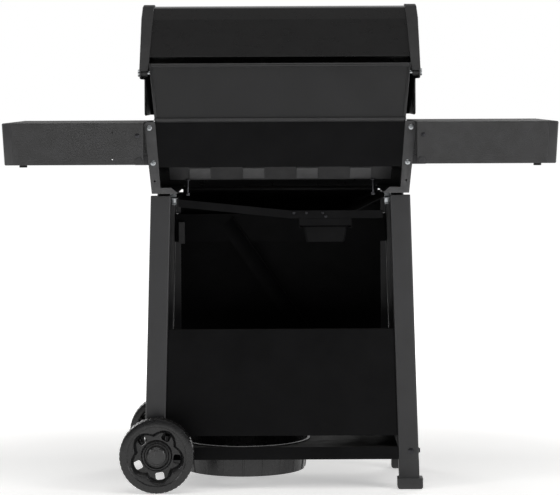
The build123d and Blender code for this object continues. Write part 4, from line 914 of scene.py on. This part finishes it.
def make_button():
    """Push button of the igniter, with a spark mark."""
    axis = joint("knob_1_turn")[1]  # the button slides square to the same face
    bm = cad_copy("ignition_button")
    heights = [v.co.dot(axis) for v in bm.verts]
    bm.free()
    base, top = min(heights), max(heights)
    centre = middle("ignition_button")
    centre += axis * (base - centre.dot(axis))
    depth = top - base
    place = facing(centre, axis)
    bm = bmesh.new()
    crown = [(9.6, depth - 1), (8.0, depth), (5.5, depth - 0.9), (0, depth - 1.2)]
    turned(bm, [(0, 0), (10.4, 0), (10.4, depth - 3)] + crown, 48, place)
    before = set(bm.faces)
    for x0, y0, turn in ((-0.8, 1.4, 24), (0.8, -1.4, 24), (0.0, 0.0, -58)):
        bar = place @ Matrix.Translation((x0, y0, depth - 1.2))
        bar @= Matrix.Rotation(math.radians(turn), 4, "Z")
        slab(bm, (-0.35, -1.9, 0), (0.35, 1.9, 0.25), bar)
    paint_faces([f for f in bm.faces if f not in before], 1)
    makers = (polished_plastic, white_print)
    put("spark_button_cap", bm, "spark_button", makers, ("ignition_button",))


# ---- Lid fittings ----
def dial_text(text, size):
    """A number as a flat mesh in millimetres, centred on the origin."""
    curve = bpy.data.curves.new("number", "FONT")
    curve.body, curve.size = text, size * MM
    curve.align_x, curve.align_y = "CENTER", "CENTER"
    curve.extrude = 0.05 * MM
    writer = bpy.data.objects.new("number", curve)
    bpy.context.scene.collection.objects.link(writer)
    bpy.context.view_layer.update()
    bm = bmesh.new()
    mesh = bpy.data.meshes.new_from_object(writer)
    bm.from_mesh(mesh)
    bpy.data.objects.remove(writer)
    bpy.data.curves.remove(curve)
    bpy.data.meshes.remove(mesh)
    bmesh.ops.scale(bm, vec=(1 / MM,) * 3, verts=bm.verts)
    return bm


def make_gauge():
    """Round thermometer: chrome rim, printed dial, needle on its pin and a domed glass."""
    sizes = bpy.context.scene.grill_sizes
    low, high = extent("thermometer")
    radius = (high.x - low.x) / 2
    pin = joint("needle_turn")[0]
    face = low.y
    place = facing(Vector((pin.x, face, pin.z)), Vector((0, -1, 0)))
    deep = -12.0  # back of the case, from the front of the rim
    case = bmesh.new()
    rim = [
        (0, deep), (radius - 1, deep), (radius, deep + 1), (radius, -3), (radius - 1.2, -0.8),
        (radius - 3.0, 0), (radius - 4.6, -0.8), (radius - 5.0, -2.4), (radius - 5.0, -7.8), (0, -7.8),
    ]
    turned(case, rim, 96, place)
    post(case, 3.4, deep - 50, deep + 0.5, place, 24)
    put("gauge_case", case, "lid", (chrome_plate,), ("thermometer",))
    dial = bmesh.new()
    disc = [(1.7, -7.9), (radius - 5.1, -7.9), (radius - 5.1, -7.5), (1.7, -7.5)]
    turned(dial, disc, 96, place)
    before = set(dial.faces)
    for i in range(36):
        share = i / 35
        angle = math.radians(215 - 250 * share)
        long_mark = i % 5 == 0
        spoke = place @ Matrix.Rotation(angle, 4, "Z")
        inner = radius - (10.5 if long_mark else 8.5)
        width = 0.55 if long_mark else 0.3
        slab(dial, (inner, -width, -7.52), (radius - 6.5, width, -7.42), spoke)
        if long_mark:
            number = dial_text(str(sizes.dial_start + sizes.dial_step * (i // 5)), 5.6)
            spot = Vector((math.cos(angle), math.sin(angle), 0)) * (radius - 15)
            bmesh.ops.translate(number, vec=spot + Vector((0, 0, -7.47)), verts=number.verts)
            bmesh.ops.transform(number, matrix=place, verts=number.verts)
            join(dial, number)
    paint_faces([f for f in dial.faces if f not in before], 1)
    put("gauge_dial", dial, "lid", (dial_face, dial_ink), ())
    needle = bmesh.new()
    root = facing(Vector((pin.x, extent("thermometer_needle")[1].y, pin.z)), Vector((0, -1, 0)))
    bar = slab(needle, (-1.1, -8, 0.0), (1.1, radius - 12, 0.9))
    for vert in bar:
        if vert.co.y > 0:
            vert.co.x *= 0.3
    turned(needle, [(1.6, 0), (3.5, 0), (3.5, 1.6), (2.9, 2.3), (1.6, 2.4)], 32)
    bmesh.ops.transform(needle, matrix=root, verts=needle.verts)
    put("gauge_needle", needle, "needle", (needle_lacquer,), ("thermometer_needle",))
    glass = bmesh.new()
    lens = [(0, -2.9), (radius - 5.1, -3.6), (radius - 5.1, -2.6), (radius * 0.5, -1.9), (0, -1.6)]
    turned(glass, lens, 72, place)
    put("gauge_lens", glass, "lid", (gauge_glass,), ())


def make_castings():
    """End castings of the lid, their long edges fettled round."""
    for side in ("left", "right"):
        name = f"lid_end_{side}"
        bm = cad_copy(name)
        low, high = extent(name)
        sign, outer = (1, high.x) if side == "right" else (-1, low.x)
        for vert in bm.verts:
            rise = max(0.0, min(1.0, (vert.co.z - low.z - 110) / (high.z - low.z - 150)))
            if abs(vert.co.x - outer) < 4.0:
                vert.co.x += sign * 8.0 * rise
        soften(bm, 1.6, 50.0, 3)
        put(f"lid_casting_{side}", bm, "lid", (cast_aluminium,), (name,), 40)


def make_hood_flanges():
    """Narrow folded flanges up both edges of the rear hood."""
    low, high = extent("rear_hood")
    bm = bmesh.new()
    foot_x = high.x - 13.0
    for side in (-1, 1):
        verts = slab(bm, (-3.2, high.y - 6.0, low.z + 3), (3.2, high.y - 2.6, high.z - 12))
        for vert in verts:
            share = (vert.co.z - low.z) / (high.z - low.z)
            vert.co.x += side * (foot_x + (high.x - foot_x) * share - 4.0)
    soften(bm, 0.9, 40.0, 2)
    put("hood_flanges", bm, "cart", (satin_paint,), ())


# ---- Shelves ----
def make_shelf_fittings():
    """Latch bolts on both faces of each shelf."""
    for side, sign in (("left", -1), ("right", 1)):
        low, high = extent(f"shelf_{side}")
        pivot, _ = joint(f"{side}_shelf_fold")
        x = pivot.x + sign * 4
        places = []
        for y, out in ((low.y, -1), (high.y, 1)):
            spot = Vector((x, y - out * 0.1, pivot.z + 64))
            places.append(facing(spot, Vector((0, out, 0))))
        bm = scatter(bolt_shape(6.0, 3.2), places)
        put(f"latch_bolts_{side}", bm, f"{side}_shelf", (dark_zinc,), ())


def make_shelf_ends():
    for side in ("left", "right"):
        name = f"shelf_{side}_end"
        rounded_copy(name, f"end_cap_{side}", 0.8, f"{side}_shelf", moulded_plastic, 45.0)


# ---- Under the firebox ----
def make_tray_fittings():
    """Bolts on the tray's rear band and bright clips at both ends of the rails."""
    low, high = extent("grease_tray")
    spots = ((-34, 14.0), (-66, 14.0), (-108, 14.0), (-116, 5.0))
    places = [facing(Vector((x, high.y - 0.1, low.z + z)), Vector((0, 1, 0))) for x, z in spots]
    put("tray_bolts", scatter(screw_shape(3.6, 2.2), places), "tray", (dark_zinc,), ())
    low, high = extent("tray_rails")
    clips = bmesh.new()
    for sign in (-1, 1):
        x = sign * (high.x - 9)
        foot = (x - 6, high.y - 30, low.z - 16)
        slab(clips, foot, (x + 6, high.y - 28.6, high.z - 2))
        slab(clips, foot, (x + 6, high.y - 19, low.z - 14.6))
    soften(clips, 0.4, 40.0, 2)
    put("rail_clips", clips, "cart", (zinc_plate,), ())
    box_foot = extent("firebox")[0].z
    for sign in (-1, 1):
        place = Matrix.Translation((sign * HANGER_X, middle("firebox").y + HANGER_Y, 0))
        bolt = bmesh.new()
        post(bolt, 3.2, high.z - 4, box_foot + 0.5, place, 20)
        post(bolt, 6.0, high.z - 6, high.z + 1, place, 6)
        post(bolt, 7.5, box_foot - 2, box_foot + 0.3, place, 28)
        soften(bolt, 0.5, 40.0, 2)
        side = "right" if sign > 0 else "left"
        put(f"hanger_bolt_{side}", bolt, "cart", (dark_zinc,), ())


def make_hopper_pads():
    """Raised pads on the hopper's rear slope, one below each burner, with rounded edges, in a lighter coat
    than the firebox as a painted highlight.
    """
    source = cad_copy("firebox")
    rear = middle("firebox").y + SLOPE_Y
    low = extent("firebox")[0].z
    slope = [f for f in source.faces if f.calc_center_median().y > rear and 0.3 < -f.normal.z < 0.9]
    pads = [f for f in slope if f.calc_center_median().z > low + 8 and f.calc_area() < 4000]
    bm = bmesh.new()
    for i in range(1, 5):
        x = joint(f"knob_{i}_turn")[0].x
        near = [f for f in pads if abs(f.calc_center_median().x - x) < 6]
        face = max(near, key=lambda f: f.calc_area())
        centre, normal = face.calc_center_median(), face.normal
        place = facing(centre, normal)
        inverse = place.inverted()
        spots = [inverse @ v.co for v in face.verts]
        half_x, half_y = max(abs(p.x) for p in spots) - 1.5, max(abs(p.y) for p in spots) - 1.5
        plate = slab(bm, (-half_x, -half_y, -0.4), (half_x, half_y, 1.2), place)
        upper = [v for v in plate if (inverse @ v.co).z > 0]  # drawn in, as a mould needs
        bmesh.ops.scale(bm, vec=(0.97, 1, 1), verts=upper, space=Matrix.Translation(-centre))
    source.free()
    soften(bm, 1.0, 30.0, 3)
    # painted highlight: the pads take the lighter bracket coat where the casting's pads catch the light
    put("hopper_pads_painted_highlight", bm, "cart", (bracket_coat_and_painted_highlight,), ())


def make_door():
    """Door pan: enamel on its face and rolled sides; its inside takes the near-black dry paint as painted
    shade, since little light reaches into the cabinet.
    """
    bm = cad_copy("door")
    face = extent("door")[0].y + 2
    # painted shade: the door's inside faces get the near-black dry paint instead of enamel
    paint_faces([f for f in bm.faces if f.normal.y > 0.5 or f.calc_center_median().y > face], 1)
    put("door_pan", bm, "cabinet_door", (baked_enamel, dry_black_paint_and_painted_shade), ("door",))


def make_front_rail():
    """Dark cross rail with its strips beside the door in the lighter frame coat."""
    bm = cad_copy("front_rail")
    for group in islands(bm):
        low, high = span(group)
        if high.x - low.x < 100:  # a strip, not the rail across the cart
            paint_faces(faces_of(group), 1)
    makers = (dry_black_paint_and_painted_shade, frame_powder_coat)
    put("cabinet_front_rail", bm, "cart", makers, ("front_rail",))


def make_door_handle():
    """Bar handle, with the screws that hold it from inside the door, painted near-black as painted shade,
    since little light reaches them.
    """
    bm = cad_copy("door_handle")
    face = extent("door")[0].y
    for group in islands(bm):
        if span(group)[0].y > face:
            # painted shade: the screws behind the door's face get near-black paint instead of bare metal
            paint_faces(faces_of(group), 1)
    makers = (brushed_steel, dry_black_paint_and_painted_shade)
    put("door_grip", bm, "cabinet_door", makers, ("door_handle",))


def make_grates():
    """Cast cooking grates, their bars rounded as the mould leaves them."""
    for side in ("left", "right"):
        name = f"grate_{side}"
        rounded_copy(name, f"cooking_{name}", 1.1, "cart", cast_iron_enamel, 50.0)


# ---- Carried-over nodes ----
CARRIED = {
    baked_enamel: ["lid_skin", "control_panel"],
    satin_paint: ["rear_hood"],
    cast_aluminium: ["firebox"],
    frame_powder_coat: [
        "top_rails", "door_pins", "shelf_hinges", "side_panel_left", "side_panel_right",
    ],
    dry_black_paint_and_painted_shade: ["rear_heat_shield", "grease_tray", "cup_holder", "drip_cup"],
    satin_black_sheet: ["bottle_recess"],
    grained_powder_coat: ["shelf_left", "shelf_right"],
    soft_rubber: ["shelf_left_bumpers", "shelf_right_bumpers"],
    moulded_plastic: ["door_catch", "igniter"],
    zinc_plate: ["axle", "lid_pivot_pins", "tray_rails", "gas_manifold"],
    brushed_steel: ["lid_handle", "warming_rack"],
    heated_steel: ["burners", "flame_tamers"],
    turned_brass: ["gas_inlet"],
}


def paint_carried():
    for maker, names in CARRIED.items():
        repaint(names, maker)


# ---- Stage ----
def floor_painted_glow():
    """Matt pale floor paper with a faint fibre; it glows as painted light, dimmest round the grill as
    painted shade.
    """
    material, tree, shader, place = blank("studio_paper_painted_glow", IOR=1.4, Specular_IOR_Level=0.1, Roughness=0.9)
    # painted light: the floor glows white, at 0.45 within 0.9 m of the middle rising to full from 2.4 m
    # out, so the ground round the grill is painted shade; the glow also lights the grill from below
    shader.inputs["Emission Color"].default_value = (1.0, 1.0, 1.0, 1.0)
    away = node(tree, "ShaderNodeVectorMath", {0: place}, operation="LENGTH").outputs["Value"]
    inputs = {"Value": away, "From Min": 0.9, "From Max": 2.4, "To Min": 0.45, "To Max": 1.0}
    lit = node(tree, "ShaderNodeMapRange", inputs).outputs[0]
    tree.links.new(lit, shader.inputs["Emission Strength"])
    fibre = {"Vector": place, "Scale": per_metre(260.0), "Detail": 4.0}
    fibre = node(tree, "ShaderNodeTexNoise", fibre).outputs["Fac"]
    inputs = {0: fibre, 6: rgba("floor"), 7: tint("efeeec")}
    shade = node(tree, "ShaderNodeMix", inputs, data_type="RGBA")
    tree.links.new(shade.outputs[2], shader.inputs["Base Color"])
    return material


def make_floor():
    bm = bmesh.new()
    bmesh.ops.create_grid(bm, x_segments=8, y_segments=8, size=24.0)
    bmesh.ops.translate(bm, vec=(0, 0, -0.0005), verts=bm.verts)
    mesh = bpy.data.meshes.new("floor_painted_glow")
    bm.to_mesh(mesh)
    bm.free()
    mesh.materials.append(finish(floor_painted_glow))
    floor = bpy.data.objects.new("floor_painted_glow", mesh)
    bpy.context.scene.collection.objects.link(floor)


def soft_light(name, place, aim, size, power):
    """A large square lamp that looks from a place to an aim."""
    lamp = bpy.data.lights.new(name, "AREA")
    lamp.shape, lamp.size, lamp.size_y, lamp.energy = "RECTANGLE", size[0], size[1], power
    holder = bpy.data.objects.new(name, lamp)
    holder.location = place
    holder.rotation_euler = (Vector(aim) - Vector(place)).to_track_quat("-Z", "Y").to_euler()
    bpy.context.scene.collection.objects.link(holder)


def make_studio():
    scene = bpy.context.scene
    scene.view_settings.view_transform = "Standard"
    world = bpy.data.worlds.new("studio_air")
    world.use_nodes = True
    tree = world.node_tree
    tree.nodes.clear()
    seen = node(tree, "ShaderNodeBackground", {"Color": (1, 1, 1, 1), "Strength": 1.0})
    way = node(tree, "ShaderNodeTexCoord").outputs["Generated"]
    way = node(tree, "ShaderNodeSeparateXYZ", {0: way})
    inputs = {"Value": way.outputs["Y"], "From Min": -0.2, "From Max": -0.7, "To Min": 0.06, "To Max": 0.55}
    wall = node(tree, "ShaderNodeMapRange", inputs).outputs[0]
    inputs = {"Value": way.outputs["Z"], "From Min": 0.75, "From Max": 0.3, "To Min": 0.12, "To Max": 1.0}
    low = node(tree, "ShaderNodeMapRange", inputs).outputs[0]
    both = node(tree, "ShaderNodeMath", {0: wall, 1: low}, operation="MULTIPLY").outputs[0]
    both = node(tree, "ShaderNodeMath", {0: both, 1: 0.08}, operation="MAXIMUM").outputs[0]
    felt = node(tree, "ShaderNodeBackground", {"Color": (1, 1, 1, 1), "Strength": both})
    ray = node(tree, "ShaderNodeLightPath").outputs["Is Camera Ray"]
    mixed = node(tree, "ShaderNodeMixShader", {0: ray, 1: felt.outputs[0], 2: seen.outputs[0]})
    node(tree, "ShaderNodeOutputWorld", {"Surface": mixed.outputs[0]})
    scene.world = world
    middle_of_grill = (0, 0.03, 0.7)
    soft_light("overhead", (0.0, 1.2, 4.4), middle_of_grill, (3.6, 2.4), 60)
    soft_light("rear_left", (3.6, 2.2, 2.3), (0, 0, 0.9), (1.2, 1.8), 40)
    soft_light("rear_right", (-4.0, 2.5, 2.0), middle_of_grill, (1.4, 2.4), 80)
    soft_light("front_left", (-2.6, -4.2, 2.2), middle_of_grill, (2.2, 2.2), 70)
    soft_light("front_right", (3.0, -4.0, 2.0), middle_of_grill, (2.0, 2.0), 50)


def make_camera():
    """A level camera behind the grill; the lens shift keeps the legs upright."""
    lens = bpy.data.cameras.new("studio_camera")
    lens.sensor_width, lens.lens = 36.0, 147.4
    lens.shift_x, lens.shift_y = 0.0, -0.281
    lens.clip_start, lens.clip_end = 0.1, 60.0
    camera = bpy.data.objects.new("studio_camera", lens)
    camera.location = (0.0, 6.079, 1.023)
    camera.rotation_euler = (math.radians(90), math.radians(0.27), math.radians(180))
    bpy.context.scene.collection.objects.link(camera)
    bpy.context.scene.camera = camera


# ---- Operators ----
class GRILL_OT_finishes(bpy.types.Operator):
    """Gives the carried-over sheet, tube and cast parts their finishes"""

    bl_idname = "grill.finishes"
    bl_label = "Finishes"

    def execute(self, context):
        paint_carried()
        return {"FINISHED"}


class GRILL_OT_legs(bpy.types.Operator):
    """Makes the four leaning leg tubes"""

    bl_idname = "grill.legs"
    bl_label = "Legs"

    def execute(self, context):
        make_legs()
        return {"FINISHED"}


class GRILL_OT_feet(bpy.types.Operator):
    """Makes the moulded feet"""

    bl_idname = "grill.feet"
    bl_label = "Feet"

    def execute(self, context):
        make_feet()
        return {"FINISHED"}


class GRILL_OT_screws(bpy.types.Operator):
    """Makes the cradle screws and the foot bolts"""

    bl_idname = "grill.screws"
    bl_label = "Screws and bolts"

    def execute(self, context):
        make_screws()
        return {"FINISHED"}


class GRILL_OT_sheets(bpy.types.Operator):
    """Makes the cradles, the cabinet floor, the lower panel and the brace with pressed edges, and a painted
    highlight along the brace's edge
    """

    bl_idname = "grill.sheets"
    bl_label = "Pressed sheets"

    def execute(self, context):
        make_sheets()
        return {"FINISHED"}


class GRILL_OT_wheels(bpy.types.Operator):
    """Makes both moulded wheels and their hub caps"""

    bl_idname = "grill.wheels"
    bl_label = "Wheels"

    def execute(self, context):
        make_wheel("front", -1)
        make_wheel("rear", 1)
        return {"FINISHED"}


class GRILL_OT_knobs(bpy.types.Operator):
    """Makes the four burner knobs"""

    bl_idname = "grill.knobs"
    bl_label = "Knobs"

    def execute(self, context):
        make_knobs()
        return {"FINISHED"}


class GRILL_OT_bezels(bpy.types.Operator):
    """Makes the rings behind the knobs and the heat marks"""

    bl_idname = "grill.bezels"
    bl_label = "Knob rings"

    def execute(self, context):
        make_bezels()
        return {"FINISHED"}


class GRILL_OT_button(bpy.types.Operator):
    """Makes the igniter's push button"""

    bl_idname = "grill.button"
    bl_label = "Ignition button"

    def execute(self, context):
        make_button()
        return {"FINISHED"}


class GRILL_OT_gauge(bpy.types.Operator):
    """Makes the lid's thermometer"""

    bl_idname = "grill.gauge"
    bl_label = "Thermometer"

    def execute(self, context):
        make_gauge()
        return {"FINISHED"}


class GRILL_OT_castings(bpy.types.Operator):
    """Makes the lid's end castings"""

    bl_idname = "grill.castings"
    bl_label = "Lid castings"

    def execute(self, context):
        make_castings()
        return {"FINISHED"}


class GRILL_OT_hood_flanges(bpy.types.Operator):
    """Makes the folded flanges of the rear hood"""

    bl_idname = "grill.hood_flanges"
    bl_label = "Hood flanges"

    def execute(self, context):
        make_hood_flanges()
        return {"FINISHED"}


class GRILL_OT_shelves(bpy.types.Operator):
    """Makes the shelves' end caps and latch bolts"""

    bl_idname = "grill.shelves"
    bl_label = "Shelf ends and bolts"

    def execute(self, context):
        make_shelf_ends()
        make_shelf_fittings()
        return {"FINISHED"}


class GRILL_OT_tray(bpy.types.Operator):
    """Makes the tray's bolts and clips and the hopper's raised pads with their painted highlight"""

    bl_idname = "grill.tray"
    bl_label = "Tray fittings"

    def execute(self, context):
        make_tray_fittings()
        make_hopper_pads()
        return {"FINISHED"}


class GRILL_OT_door(bpy.types.Operator):
    """Makes the door, its bar handle and the rail and strips round it"""

    bl_idname = "grill.door"
    bl_label = "Door"

    def execute(self, context):
        make_door()
        make_front_rail()
        make_door_handle()
        return {"FINISHED"}


class GRILL_OT_grates(bpy.types.Operator):
    """Makes the two cooking grates"""

    bl_idname = "grill.grates"
    bl_label = "Cooking grates"

    def execute(self, context):
        make_grates()
        return {"FINISHED"}


class GRILL_OT_stage(bpy.types.Operator):
    """Makes the floor, the lights and the camera"""

    bl_idname = "grill.stage"
    bl_label = "Stage"

    def execute(self, context):
        make_floor()
        make_studio()
        make_camera()
        return {"FINISHED"}


OPERATORS = (
    GRILL_OT_stage, GRILL_OT_finishes, GRILL_OT_legs, GRILL_OT_feet, GRILL_OT_screws, GRILL_OT_sheets,
    GRILL_OT_wheels, GRILL_OT_knobs, GRILL_OT_bezels, GRILL_OT_button, GRILL_OT_gauge, GRILL_OT_castings,
    GRILL_OT_hood_flanges, GRILL_OT_shelves, GRILL_OT_tray, GRILL_OT_door, GRILL_OT_grates,
)


class GRILL_PT_panel(bpy.types.Panel):
    """Lists the grill's sizes, colours and pieces"""

    bl_label = "Gas Barbecue Grill"
    bl_idname = "GRILL_PT_panel"
    bl_space_type = "VIEW_3D"
    bl_region_type = "UI"
    bl_category = "Grill"

    def draw(self, context):
        for group in (context.scene.grill_sizes, context.scene.grill_colours):
            box = self.layout.box()
            for key in group.__annotations__:
                box.prop(group, key)
        for operator in OPERATORS:
            self.layout.operator(operator.bl_idname)


CLASSES = (GrillSizes, GrillColours, *OPERATORS, GRILL_PT_panel)


def register():
    for item in CLASSES:
        bpy.utils.register_class(item)
    bpy.types.Scene.grill_sizes = bpy.props.PointerProperty(type=GrillSizes)
    bpy.types.Scene.grill_colours = bpy.props.PointerProperty(type=GrillColours)


def unregister():
    del bpy.types.Scene.grill_colours
    del bpy.types.Scene.grill_sizes
    for item in reversed(CLASSES):
        bpy.utils.unregister_class(item)


def main():
    register()
    for operator in OPERATORS:
        group, name = operator.bl_idname.split(".")
        getattr(getattr(bpy.ops, group), name)()


if __name__ == "__main__":
    main()
